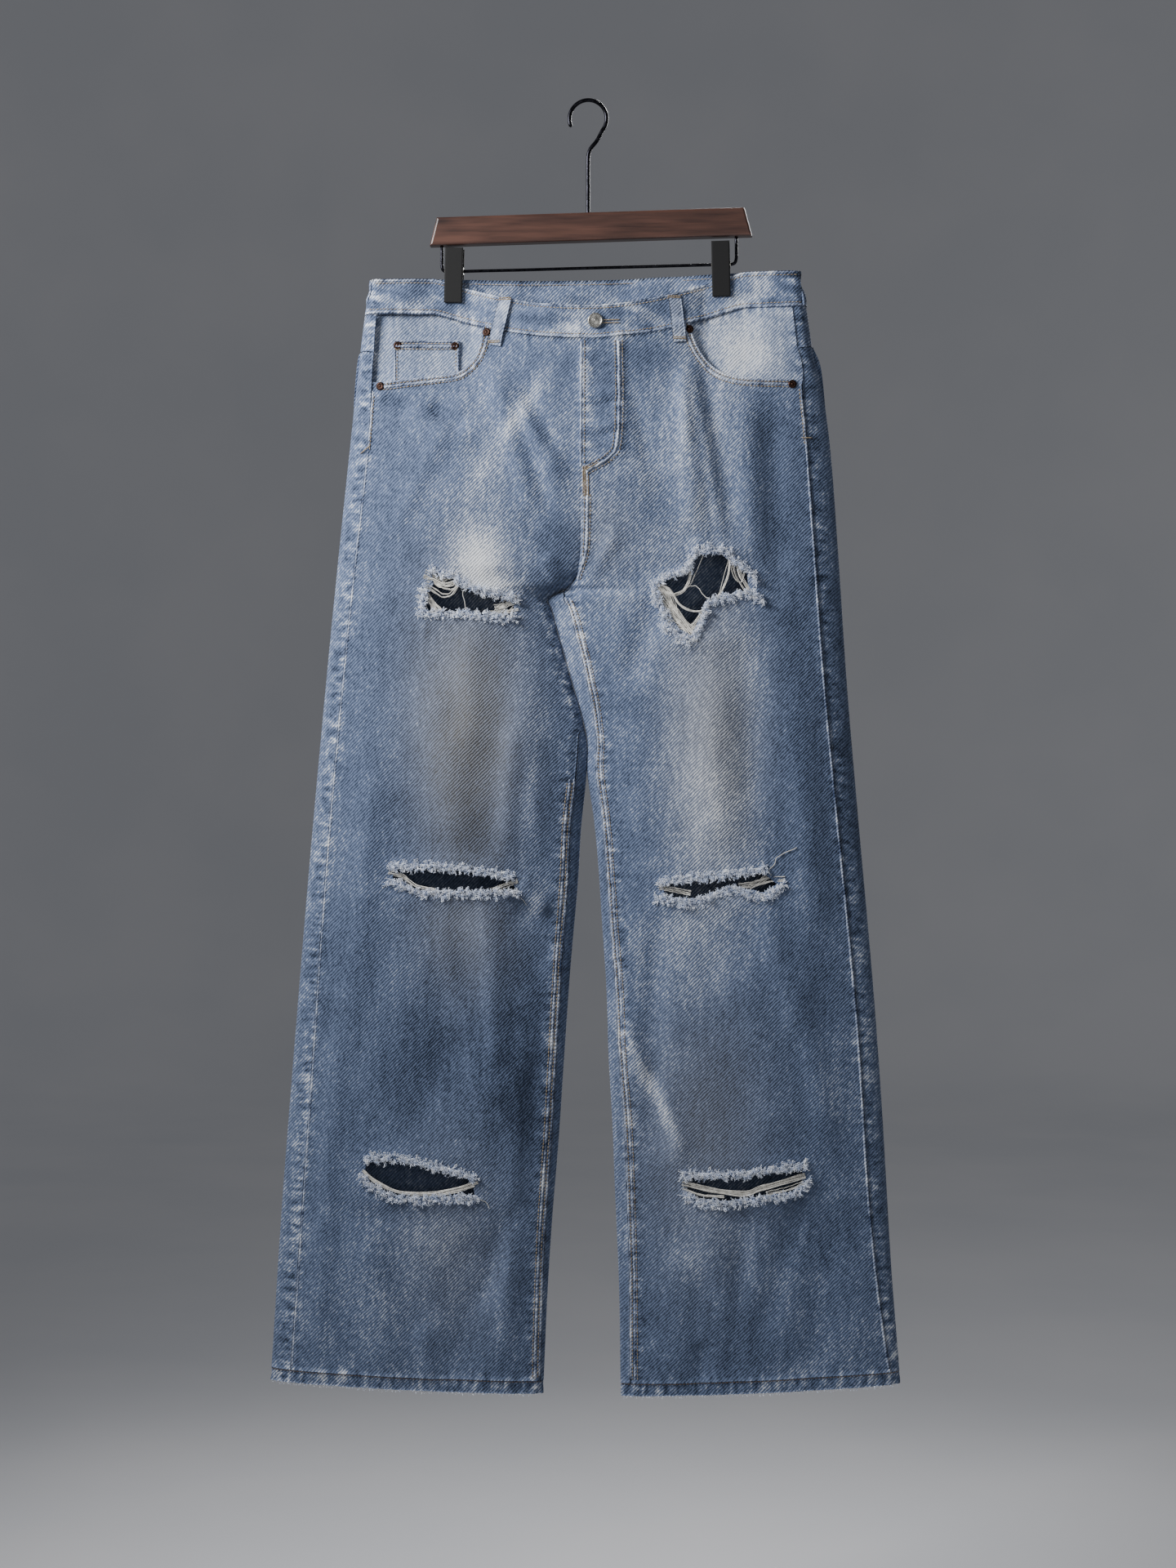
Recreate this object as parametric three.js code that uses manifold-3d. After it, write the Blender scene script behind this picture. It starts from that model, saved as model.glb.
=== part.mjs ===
// Ripped wide-leg jeans hung by two clips from a wooden hanger.
// Millimetres, +Z up, front of the garment towards -Y, origin at the inside top of the hook.
import * as THREE from 'three';
import { mergeVertices } from 'three/addons/utils/BufferGeometryUtils.js';
import Module from 'manifold-3d';

const wasm = await Module();
wasm.setup();

// ---------------------------------------------------------------- driving sizes
const SEAM_GAP = 0.3;          // free space between neighbouring pieces
const LAY_GAP = 0.9;           // free space under or over a piece that lies on a curved panel
const BAND_GAP = 0.7;          // free space under the waistband, whose cloth is thicker
const DENIM = 1.6;             // wall of the front and back panels
const DOUBLE_DENIM = 2.6;      // wall of the waistband and hems, cloth folded on itself
const THIN_DENIM = 1.2;        // wall of patch pockets, facings and belt loops
const WAIST_TOP = -168.5;      // top edge of the waistband at the sides
const WAIST_SEAM = -202.5;     // seam under the waistband at the sides
const CROTCH = -472;           // where the four leg seams meet
const HEM_TOP = -1227;         // stitch line of the hems
const HEM_END = -1239;         // turned edge of the hems at the outseams
const CLIP_INNER = 114;        // the front bows out between these distances from the middle
const CLIP_OUTER = 144;        // and opens again beyond these
const SAG_SPAN = 150;          // half width over which the front waistband dips
const FRONT_SAG = 17;          // how far the front waistband bows out between the clips
const BACK_SAG = 5;            // the same at the back
const YOKE_SIDE = -240;        // yoke seam at the outseams
const YOKE_CENTRE = -272;      // yoke seam at the centre back
const RIVET_RADIUS = 4;
const HOOK_RADIUS = 18;        // centre line of the hook's bow
const HOOK_WIRE = 1.9;         // radius of the hook wire
const RAIL_WIRE = 1.5;         // radius of the clip rail
const BAR_TILT = 0.98 * Math.PI / 180;

// ---------------------------------------------------------------- finishes
const finish = (color, roughness, metalness = 0) =>
  new THREE.MeshStandardMaterial({ color, roughness, metalness });
const DENIM_LIGHT = finish(0x8ba2bd, 0.92);
const DENIM_SEAM = finish(0x93a8c0, 0.92);
const DENIM_PALE = finish(0xb3c0cf, 0.92);
const COPPER = finish(0x5a4034, 0.45, 0.8);
const NICKEL = finish(0xb5b3ac, 0.35, 0.9);
const BLACK_NICKEL = finish(0x15151a, 0.25, 0.85);
const BLACK_PLATE = finish(0x17171a, 0.55, 0.3);
const WALNUT = finish(0x4a2b20, 0.45);

// ---------------------------------------------------------------- small helpers
const clamp01 = (t) => Math.min(1, Math.max(0, t));
const mix = (a, b, t) => a + (b - a) * t;
const smooth = (from, to, t) => {
  const k = clamp01((t - from) / (to - from));
  return k * k * (3 - 2 * k);
};
const bell = (d, width) => Math.exp(-(d * d) / (width * width));

// A smooth curve through [height, value] pairs listed from the top down.
function profile(pairs) {
  const slope = (i) => {
    const a = pairs[Math.max(0, i - 1)];
    const b = pairs[Math.min(pairs.length - 1, i + 1)];
    return (b[1] - a[1]) / (b[0] - a[0]);
  };
  return (z) => {
    if (z >= pairs[0][0]) return pairs[0][1];
    const last = pairs.length - 1;
    if (z <= pairs[last][0]) return pairs[last][1];
    let i = 0;
    while (pairs[i + 1][0] > z) i += 1;
    const span = pairs[i + 1][0] - pairs[i][0];
    const t = (z - pairs[i][0]) / span;
    const t2 = t * t;
    const t3 = t2 * t;
    return (2 * t3 - 3 * t2 + 1) * pairs[i][1] + (t3 - 2 * t2 + t) * span * slope(i)
      + (3 * t2 - 2 * t3) * pairs[i + 1][1] + (t3 - t2) * span * slope(i + 1);
  };
}

// ---------------------------------------------------------------- outline of the garment
// The line where left and right meet: the fly edge, the centre seam, then the touching legs.
const FORK = [[-160, -5.5], [-425, -5.5], [-441, -6.5], [-458, -10], [-466, -15], [-472, -23],
  [-477, -34], [-482, -39.5], [-490, -35.5], [-515, -29], [-537, -22.5], [-560, -16],
  [-585, -8.5], [-617, -1], [-648, -1]];
const centreLine = profile(FORK.filter(([z]) => z >= CROTCH));

const SIDES = {
  left: {
    name: 'left',
    sign: -1,
    outer: profile([[-168, -213], [-175, -213.5], [-215, -219], [-270, -225.5], [-330, -232],
      [-430, -242.5], [-565, -256], [-755, -273.5], [-978, -292], [-1074, -299.5], [-1242, -310.5]]),
    inner: profile([...FORK, [-703, -6.5], [-754, -9.5], [-834, -16.5], [-925, -23], [-1000, -28],
      [-1076, -34.5], [-1152, -39.5], [-1242, -43.5]]),
    outseam: profile([[-168, 12], [-208, 13], [-268, 17], [-340, 19], [-500, 18], [-700, 18],
      [-1048, 21.5], [-1240, 20.5]]),
    inseam: profile([[-472, 0], [-600, 0], [-613, 7], [-652, 10], [-754, 9.5], [-925, 7.5],
      [-1076, 6], [-1240, 3]]),
    hemRise: [-1, -10],
  },
  right: {
    name: 'right',
    sign: 1,
    outer: profile([[-165, 205.5], [-177, 206.5], [-216, 212.5], [-255, 218.5], [-275, 224.5],
      [-334, 233], [-430, 240.5], [-565, 249.5], [-690, 260], [-848, 274], [-973, 283],
      [-1130, 292], [-1232, 300]]),
    inner: profile([...FORK, [-693, 5.5], [-733, 9.5], [-794, 13.5], [-854, 17.5], [-925, 20],
      [-987, 23.5], [-1050, 26], [-1139, 30], [-1242, 31.5]]),
    outseam: profile([[-168, 12], [-204, 14], [-244, 15], [-304, 21], [-457, 22], [-656, 20],
      [-888, 17.5], [-1036, 17.5], [-1150, 13.5], [-1230, 9]]),
    inseam: profile([[-472, 0], [-480, 16], [-497, 18], [-529, 18], [-560, 16], [-585, 13.5],
      [-617, 10], [-672, 9.5], [-733, 8.5], [-873, 10], [-1022, 12.5], [-1172, 10.5],
      [-1240, 10]]),
    hemRise: [5, -11],
  },
};

// ---------------------------------------------------------------- depth of the garment
const bodyDepth = profile([[-200, 20], [-260, 27], [-340, 31], [-420, 32], [-472, 29]]);
const legDepth = profile([[-400, 24], [-520, 26], [-700, 25], [-1000, 22], [-1242, 19]]);
const waistDip = (x) => Math.max(0, 1 - (x / SAG_SPAN) ** 2) ** 1.2;
const frontDrop = profile([[-168, 31], [-203, 29], [-260, 22], [-330, 9], [-400, 0]]);
const backDrop = profile([[-168, 3], [-203, 4], [-300, 0]]);
const pinchDepth = profile([[-168, 3.3], [-192, 3.4], [-206, 7], [-230, 9]]);

// Edges of one side at a nominal height, and the ellipse that spans them.
function span(side, zn, gap = SEAM_GAP / 2) {
  const apart = zn < CROTCH ? 2 * gap : gap;
  const outer = side.outer(zn);
  const inner = (zn < CROTCH ? side.inner(zn) : centreLine(zn)) + side.sign * apart;
  return { outer, inner, centre: (outer + inner) / 2, half: Math.abs(outer - inner) / 2 };
}

// Flattened waist: pinched at the clips, bowed between them, closed at the side folds.
function waistDepth(x, zn, face) {
  const sag = face === 'front' ? FRONT_SAG : BACK_SAG;
  const bow = Math.max(0, 1 - (x / CLIP_INNER) ** 2);
  const beyond = smooth(CLIP_OUTER, CLIP_OUTER + 45, Math.abs(x));
  const edge = x < 0 ? x - SIDES.left.outer(zn) : SIDES.right.outer(zn) - x;
  const fold = clamp01(edge / 10);
  return (pinchDepth(zn) + sag * bow + 4.5 * beyond)
    * Math.sqrt(1 - (1 - fold) ** 2);
}

// The main folds of the cloth, as distance moved outwards.
function folds(x, z, face) {
  const along = (x0, z0, x1, z1, width, height) => {
    const length = Math.hypot(x1 - x0, z1 - z0);
    const t = ((x - x0) * (x1 - x0) + (z - z0) * (z1 - z0)) / (length * length);
    const off = ((x - x0) * (z1 - z0) - (z - z0) * (x1 - x0)) / length;
    return height * bell(off, width) * smooth(-0.15, 0.2, t) * smooth(1.15, 0.8, t);
  };
  const mirror = face === 'front' ? 1 : 0.7;
  return mirror * (along(-90, -245, -18, -370, 13, 3) + along(96, -250, 104, -420, 12, 2.5)
    + along(30, -880, 98, -1030, 12, 3.5) + along(-150, -560, -120, -720, 22, 2.5)
    + along(120, -560, 130, -730, 24, 2.5) + along(-130, -840, -160, -1000, 26, -2.5)
    + along(150, -830, 190, -1000, 24, 2) + along(-215, -1090, -190, -1225, 20, 2)
    + along(-110, -1090, -125, -1225, 24, -2.5) + along(90, -1100, 80, -1225, 22, 2)
    + along(230, -1080, 215, -1225, 24, -2));
}

// Half depth of one face at a nominal height.
function depth(side, x, zn, face) {
  const { inner, centre, half } = span(side, zn, 0);
  const across = clamp01(1 - ((x - centre) / half) ** 2);
  const leg = legDepth(zn) * Math.sqrt(across);
  if (zn < CROTCH) return leg + folds(x, zn, face) * smooth(0, 0.35, across);
  const middle = (SIDES.left.outer(zn) + SIDES.right.outer(zn)) / 2;
  const width = (SIDES.right.outer(zn) - SIDES.left.outer(zn)) / 2;
  const body = bodyDepth(zn) * Math.sqrt(clamp01(1 - ((x - middle) / width) ** 2));
  const under = clamp01((-330 - zn) / (-330 - CROTCH));
  const inward = clamp01((side.sign * (centre - x) + half) / (2 * half));
  const round = 1 - Math.sqrt(1 - under * under);
  const lower = mix(body, leg, mix(smooth(0, 1, under), round, smooth(0.45, 0.9, inward)));
  const hollow = Math.hypot(lower, 2.4 * inward * under);
  const rim = clamp01(1 - ((x - middle) / width) ** 2);
  const soft = folds(x, zn, face) * smooth(0, 0.3, rim) * smooth(-205, -260, zn);
  const away = smooth(0, 30, Math.abs(x - inner));
  return mix(waistDepth(x, zn, face), hollow, smooth(-200, -320, zn)) + soft * away;
}

// Height of a point of the cloth that belongs to a nominal height.
function lowered(side, x, zn, face) {
  const drop = face === 'front' ? frontDrop(zn) : backDrop(zn);
  const { outer, inner } = span(side, zn);
  const across = clamp01((x - outer) / (inner - outer));
  const hem = mix(side.hemRise[0], side.hemRise[1], across) * smooth(-950, HEM_END, zn);
  return zn - waistDip(x) * drop + 0.008 * x * smooth(-480, -200, zn) + hem;
}

// Point at angle psi round one side: 0 at the outer fold, pi at the inner one, front positive.
function wrap(side, psi, zn) {
  const { centre, half } = span(side, zn);
  const x = centre + side.sign * half * Math.cos(psi);
  const face = Math.sin(psi) >= 0 ? 'front' : 'back';
  const y = depth(side, x, zn, face) * (face === 'front' ? -1 : 1);
  return new THREE.Vector3(x, y, lowered(side, x, zn, face));
}

// Nominal height of a real height on one face.
function nominal(side, x, z, face) {
  let zn = z;
  for (let i = 0; i < 8; i += 1) zn += z - lowered(side, x, zn, face);
  return zn;
}

// Point on one face at a real height, moved out along the cloth's normal by lift.
function facePoint(side, x, z, face, lift = 0) {
  const at = (px, pz) => {
    const y = depth(side, px, nominal(side, px, pz, face), face);
    return new THREE.Vector3(px, face === 'front' ? -y : y, pz);
  };
  const step = 1;
  const across = at(x + step, z).sub(at(x - step, z));
  const up = at(x, z + step).sub(at(x, z - step));
  const normal = across.cross(up).normalize();
  if ((face === 'front') === (normal.y > 0)) normal.negate();
  return at(x, z).addScaledVector(normal, lift);
}
const frontPoint = (x, z, lift) =>
  facePoint(x < centreLine(Math.max(z, CROTCH)) ? SIDES.left : SIDES.right, x, z, 'front', lift);

// ---------------------------------------------------------------- shells
function toSolid(geometry) {
  const bare = new THREE.BufferGeometry();
  bare.setAttribute('position', geometry.getAttribute('position'));
  bare.setIndex(geometry.index);
  const merged = mergeVertices(bare, 1e-4);
  return new wasm.Manifold(new wasm.Mesh({
    numProp: 3,
    vertProperties: new Float32Array(merged.getAttribute('position').array),
    triVerts: new Uint32Array(merged.index.array),
  }));
}

function fromSolid(solid) {
  const data = solid.getMesh();
  const geometry = new THREE.BufferGeometry();
  geometry.setAttribute('position', new THREE.BufferAttribute(data.vertProperties, 3));
  geometry.setIndex(new THREE.BufferAttribute(data.triVerts, 1));
  return geometry;
}

// A wall of cloth: rows of points on its outer face, thickened inwards; ring joins the columns.
function wall(rows, thickness, facing, ring = false) {
  const high = rows.length;
  const wide = rows[0].length;
  const column = (j) => (ring ? (j + wide) % wide : Math.min(wide - 1, Math.max(0, j)));
  const normals = rows.map((row, i) => row.map((_, j) => {
    const across = rows[i][column(j + 1)].clone().sub(rows[i][column(j - 1)]);
    const down = rows[Math.min(high - 1, i + 1)][j].clone().sub(rows[Math.max(0, i - 1)][j]);
    return across.cross(down).normalize();
  }));
  let vote = 0;
  normals.forEach((row, i) => row.forEach((n, j) => {
    vote += facing ? n.y * facing : n.y * rows[i][j].y;
  }));
  const turned = vote < 0;
  const position = [];
  [0, thickness].forEach((inset) => rows.forEach((row, i) => row.forEach((point, j) => {
    const normal = normals[i][j].clone().multiplyScalar(turned ? inset : -inset);
    const moved = point.clone().add(normal);
    position.push(moved.x, moved.y, moved.z);
  })));
  const index = [];
  const layer = high * wide;
  const quad = (a, b, c, d) => {
    if (turned) index.push(a, d, b, b, d, c);
    else index.push(a, b, d, b, c, d);
  };
  const lastColumn = ring ? wide : wide - 1;
  for (let i = 0; i < high - 1; i += 1) {
    for (let j = 0; j < lastColumn; j += 1) {
      const a = i * wide + j;
      const b = i * wide + column(j + 1);
      quad(a, b, b + wide, a + wide);
      quad(layer + a + wide, layer + b + wide, layer + b, layer + a);
    }
    if (!ring) {
      const first = i * wide;
      const last = first + wide - 1;
      quad(layer + first, first, first + wide, layer + first + wide);
      quad(last, layer + last, layer + last + wide, last + wide);
    }
  }
  const bottom = (high - 1) * wide;
  for (let j = 0; j < lastColumn; j += 1) {
    const k = column(j + 1);
    quad(layer + j, layer + k, k, j);
    quad(bottom + j, bottom + k, layer + bottom + k, layer + bottom + j);
  }
  const geometry = new THREE.BufferGeometry();
  geometry.setAttribute('position', new THREE.BufferAttribute(new Float32Array(position), 3));
  geometry.setIndex(index);
  return geometry;
}

const steps = (from, to, count) =>
  Array.from({ length: count + 1 }, (_, i) => mix(from, to, i / count));

// A straight-sided cutter through one face, from an outline of [x, z] corners.
function cutter(outline, y0, y1) {
  const shape = new THREE.Shape(outline.map(([x, z]) => new THREE.Vector2(x, z)));
  const geometry = new THREE.ExtrudeGeometry(shape, { depth: y1 - y0, bevelEnabled: false });
  geometry.rotateX(Math.PI / 2);
  geometry.translate(0, y1, 0);
  return toSolid(geometry);
}

// ---------------------------------------------------------------- the garment's pieces
const group = new THREE.Group();
group.name = 'ripped_jeans_on_hanger';

function add(name, geometry, material) {
  const mesh = new THREE.Mesh(geometry, material);
  mesh.name = name;
  group.add(mesh);
}

// Angles of the side seam and the inner seam of one side at a nominal height.
function seamAngles(side, zn) {
  const { half } = span(side, zn);
  const out = Math.acos(1 - side.outseam(zn) / half);
  const wrapIn = zn < CROTCH ? Math.acos(1 - Math.max(0.01, side.inseam(zn)) / half) : 0;
  const slack = SEAM_GAP / 2 / (half * Math.sin(out));
  return { out, inn: Math.PI - wrapIn, slack, inSlack: zn < CROTCH ? 0.2 / 12 : 0 };
}

const PANEL_ROWS = [...steps(WAIST_SEAM - BAND_GAP, -320, 4), -350, -385, -415, -440, -455,
  -465, -471, -476, -481, -490, -507, -530, -560, -600, -650, -710,
  ...steps(-790, HEM_TOP + SEAM_GAP, 6)];

// Front panel: side seam to centre seam above the crotch, to the inseam below it.
function frontAngles(side, zn, columns) {
  const { out, inn, slack, inSlack } = seamAngles(side, zn);
  return steps(out + slack, inn - inSlack, columns);
}
const frontRows = (side, heights, columns) =>
  heights.map((zn) => frontAngles(side, zn, columns).map((psi) => wrap(side, psi, zn)));

// Back panel: from the side seam round the outer fold, across the back, round to the inseam.
function backAngles(side, zn, columns, lap = 3) {
  const { out, inn, slack, inSlack } = seamAngles(side, zn);
  const end = -(2 * Math.PI - inn) + inSlack;
  return [...steps(out - slack, 0, lap).slice(0, lap), ...steps(0, end, columns)];
}
const backRows = (side, heights, columns) =>
  heights.map((zn) => backAngles(side, zn, columns).map((psi) => wrap(side, psi, zn)));

// Rips: outlines of the open cloth on the fronts, as [x, z] corners.
const RIPS = {
  left: [
    [[-149, -456], [-127, -460], [-122, -467], [-100, -474], [-76, -481], [-70, -488],
      [-70, -499], [-100, -497], [-130, -495], [-157, -493], [-154, -478], [-147, -467]],
    [[-187, -741], [-160, -740], [-132, -741], [-100, -745], [-72, -751], [-68, -763],
      [-110, -764], [-158, -763], [-172, -757], [-187, -752]],
    [[-212, -1023], [-180, -1023], [-146, -1030], [-110, -1041], [-108, -1055],
      [-145, -1057], [-182, -1057], [-203, -1048], [-215, -1038]],
  ],
  right: [
    [[68, -470], [80, -463], [101, -456], [106, -441], [130, -441], [139, -448], [154, -459],
      [156, -476], [137, -479], [114, -485], [109, -500], [101, -518], [90, -512],
      [80, -497], [72, -484]],
    [[73, -755], [120, -749], [168, -744], [182, -755], [170, -763], [140, -757],
      [124, -763], [103, -769], [76, -768]],
    [[96, -1036], [142, -1036], [178, -1031], [206, -1027], [206, -1040], [196, -1049],
      [168, -1053], [134, -1058], [108, -1056], [97, -1049]],
  ],
};

// Mouths of the front pockets, running from the waistband to the side seam.
const POCKET_MOUTHS = {
  left: [[-101, -212], [-102, -228], [-106, -242], [-112, -252], [-125, -262], [-150, -266],
    [-184, -269.5], [-197, -270.5], [-260, -273], [-260, -180], [-101, -180]],
  right: [[98, -212], [101, -226], [109, -244], [121, -259], [135, -267], [156, -271],
    [189, -272], [196, -272.5], [260, -275], [260, -180], [98, -180]],
};

for (const side of [SIDES.left, SIDES.right]) {
  let panel = toSolid(wall(frontRows(side, PANEL_ROWS, 11), DENIM, -1));
  for (const outline of [POCKET_MOUTHS[side.name], ...RIPS[side.name]]) {
    panel = panel.subtract(cutter(outline, -70, 0));
  }
  add(`front_panel_${side.name}`, fromSolid(panel), DENIM_LIGHT);

  const yokeEnd = (x) => mix(YOKE_CENTRE, YOKE_SIDE, clamp01(Math.abs(x) / 215));
  const backHeights = PANEL_ROWS.filter((zn) => zn < -290);
  const shaped = (heights, pick) => {
    const rows = backRows(side, heights, 12);
    return rows.map((row, i) => row.map((point, j) => pick(point, i, j, rows.length)));
  };
  const onBack = (point, z) => {
    const face = point.y < -0.001 ? 'front' : 'back';
    const zn = nominal(side, point.x, z, face);
    const y = depth(side, point.x, zn, face) * (face === 'front' ? -1 : 1);
    return new THREE.Vector3(point.x, y, z);
  };
  const yokeRows = shaped(steps(WAIST_SEAM - BAND_GAP, YOKE_SIDE, 3), (point, i, j, count) => (
    i === 0 ? point : onBack(point, mix(WAIST_SEAM - 5, yokeEnd(point.x), i / (count - 1)))));
  add(`back_yoke_${side.name}`, wall(yokeRows, DENIM, 1), DENIM_LIGHT);
  const upperRows = shaped([-245, -265], (point, i) => (
    onBack(point, yokeEnd(point.x) - BAND_GAP - i * 10)));
  const panelRows = [...upperRows, ...backRows(side, backHeights, 12)];
  add(`back_panel_${side.name}`, wall(panelRows, DENIM, 1), DENIM_LIGHT);

  // Hem: the turned end of the leg, a closed ring.
  const hemRows = steps(HEM_TOP, HEM_END, 1).map((zn) => (
    steps(0, 2 * Math.PI, 30).slice(0, 30).map((psi) => wrap(side, psi > Math.PI
      ? psi - 2 * Math.PI : psi, zn))));
  add(`hem_${side.name}`, wall(hemRows, DOUBLE_DENIM, 0, true), DENIM_SEAM);
}

// Waistband: front left up to the fly edge, front right with the button end, and the back.
const BAND_ROWS = [WAIST_TOP, -180, -191, WAIST_SEAM];
const BAND_END = 0.24;         // angle at which the front and back lengths of the band meet
const clipAngles = (side, zn) => [CLIP_INNER + 6, CLIP_OUTER - 4].map((reach) => {
  const { centre, half } = span(side, zn);
  return Math.acos((reach - side.sign * centre) / half);
});
const bandFront = (side) => BAND_ROWS.map((zn) => (
  [BAND_END, BAND_END + 0.03, BAND_END + 0.1, ...frontAngles(side, zn, 11), ...clipAngles(side, zn)]
    .sort((a, b) => a - b).map((psi) => wrap(side, psi, zn))));
add('waistband_front_left', wall(bandFront(SIDES.left), DOUBLE_DENIM, -1), DENIM_SEAM);
add('waistband_front_right', wall(bandFront(SIDES.right), DOUBLE_DENIM, -1), DENIM_SEAM);
const bandBack = BAND_ROWS.map((zn) => {
  const half = (side) => [BAND_END - 0.03, BAND_END - 0.06, 0.1,
    ...steps(0, -Math.PI, 12).slice(0, 12),
    ...clipAngles(side, zn).map((psi) => -psi)]
    .sort((a, b) => b - a).map((psi) => wrap(side, psi, zn));
  return [...half(SIDES.left), ...half(SIDES.right).reverse()];
});
add('waistband_back', wall(bandBack, DOUBLE_DENIM, 1), DENIM_SEAM);

// A patch lying on a face: rows of [x, z] moved out (or in) by lift, facing the same way.
function patch(outline, face, lift, thickness) {
  const rows = outline.map((row) => row.map(([x, z]) => (face === 'front'
    ? frontPoint(x, z, lift) : facePoint(x < -5.5 ? SIDES.left : SIDES.right, x, z, face, lift))));
  return wall(rows, thickness, face === 'front' ? -1 : 1);
}
const lattice = (xs, zs, place) => zs.map((z) => xs.map((x) => place(x, z)));
const frontSeam = (x) => WAIST_SEAM - 0.5 + 0.008 * x - waistDip(x) * 29;

// Pocket facings: the cloth seen inside the pocket mouths, and the coin pocket on the left one.
const FACING_INSET = DENIM + 1.8 * LAY_GAP;
const facingSheet = (x0, x1, lift) => patch(lattice(steps(x0, x1, 9), steps(0, 1, 5), (x, t) => (
  [x, mix(frontSeam(x) - 0.8, -285, t)])), 'front', lift, THIN_DENIM);
const COIN_INSET = FACING_INSET + THIN_DENIM + LAY_GAP;
add('pocket_facing_left', facingSheet(-202, -90, -COIN_INSET), DENIM_PALE);
add('pocket_facing_right', facingSheet(200, 88, -FACING_INSET), DENIM_PALE);
add('coin_pocket', patch(lattice(steps(-187, -125, 6), steps(0, 1, 3), (x, t) => (
  [x, mix(-230, -276, t)])), 'front', -FACING_INSET, THIN_DENIM), DENIM_PALE);

// Fly facing: sewn behind the right front by the curved fly stitching.
add('fly_facing', patch(lattice(steps(0, 1, 4), steps(0, 1, 5), (s, t) => {
  const z = mix(-236, -358, t);
  const wide = 38 * Math.sqrt(1 - smooth(0.72, 1.05, t) * 0.7);
  return [-4.5 + s * wide, z];
}), 'front', -FACING_INSET, THIN_DENIM), DENIM_LIGHT);

// Back patch pockets with their pointed lower ends.
for (const sign of [-1, 1]) {
  const middle = -5 + sign * 108;
  const rows = steps(0, 1, 6).map((t) => steps(-1, 1, 6).map((s) => {
    const reach = mix(76, 66, t);
    const point = 22 * (1 - Math.abs(s)) * smooth(0.5, 1, t);
    return [middle + s * reach, mix(-292, -424, t) - point];
  }));
  add(`back_pocket_${sign < 0 ? 'left' : 'right'}`,
    patch(rows, 'back', 1.4 * LAY_GAP + THIN_DENIM, THIN_DENIM), DENIM_LIGHT);
}

// Belt loops: straps over the waistband, sewn at both ends and standing off between.
function beltLoop(name, top, bottom, face) {
  const half = 6;
  const rows = steps(0, 1, 8).map((t) => {
    const x = mix(top[0], bottom[0], t);
    const z = mix(top[1], bottom[1], t);
    const lift = LAY_GAP + THIN_DENIM + 2 * Math.sin(Math.PI * t) ** 0.7;
    return [-half, 0, half].map((dx) => (face === 'front' ? frontPoint(x + dx, z, lift)
      : facePoint(x + dx < -5.5 ? SIDES.left : SIDES.right, x + dx, z, face, lift)));
  });
  add(name, wall(rows, THIN_DENIM, face === 'front' ? -1 : 1), DENIM_SEAM);
}
beltLoop('belt_loop_front_left', [-78.5, -190], [-89, -237], 'front');
beltLoop('belt_loop_front_right', [83.3, -190], [88.8, -235.5], 'front');
beltLoop('belt_loop_back_left', [-178, -170], [-178, -216], 'back');
beltLoop('belt_loop_back_centre', [-5.5, -173], [-5.5, -219], 'back');
beltLoop('belt_loop_back_right', [170, -169], [170, -215], 'back');

// Rivets and the waist button, turned to lie on the cloth.
function stud(name, points, x, z, lift, material) {
  const at = frontPoint(x, z, lift);
  const normal = frontPoint(x, z, lift + 1).sub(at).normalize();
  const geometry = new THREE.LatheGeometry(points.map(([r, h]) => new THREE.Vector2(r, h)), 16);
  const turn = new THREE.Quaternion().setFromUnitVectors(new THREE.Vector3(0, 1, 0), normal);
  geometry.applyQuaternion(turn);
  geometry.translate(at.x, at.y, at.z);
  add(name, geometry, material);
}
const RIVET = [[0, 0], [RIVET_RADIUS, 0], [RIVET_RADIUS, 0.5], [2.4, 1.1], [1.5, 0.7], [0, 1.2]];
const BUTTON = [[0, 0], [7.2, 0], [7.4, 1.4], [6.4, 2.4], [5.6, 1.9], [0, 2.1]];
stud('rivet_left_inner', RIVET, -97.2, -223.6, 0.4, COPPER);
stud('rivet_left_outer', RIVET, -200.5, -274.8, 0.4, COPPER);
stud('rivet_coin_left', RIVET, -184, -234.8, 0.4 - FACING_INSET, COPPER);
stud('rivet_coin_right', RIVET, -128.5, -235.5, 0.4 - FACING_INSET, COPPER);
stud('rivet_right_inner', RIVET, 98.4, -223, 0.4, COPPER);
stud('rivet_right_outer', RIVET, 197, -277, 0.4, COPPER);
stud('waist_button', BUTTON, 8.5, -215, 0.7, NICKEL);

// ---------------------------------------------------------------- the hanger
function tube(points, radius, count, sections = 10) {
  const outline = new THREE.Shape(Array.from({ length: sections }, (_, i) => {
    const angle = (2 * Math.PI * i) / sections;
    return new THREE.Vector2(radius * Math.cos(angle), radius * Math.sin(angle));
  }));
  const path = new THREE.CatmullRomCurve3(points.map((p) => new THREE.Vector3(...p)));
  return new THREE.ExtrudeGeometry(outline, {
    steps: count, bevelEnabled: false, extrudePath: path,
  });
}

const BOW_CENTRE = -(HOOK_RADIUS - HOOK_WIRE);
const bow = steps(205, -38, 12).map((degrees) => {
  const angle = degrees * Math.PI / 180;
  return [HOOK_RADIUS * Math.cos(angle), 0, BOW_CENTRE + HOOK_RADIUS * Math.sin(angle)];
});
add('hook', tube([...bow, [8.6, 0, -37.5], [2.6, 0, -45], [0.3, 0, -52], [0, 0, -60],
  [0, 0, -75], [0, 0, -90], [0, 0, -105], [0, 0, -124]], HOOK_WIRE, 44, 8), BLACK_NICKEL);

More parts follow.
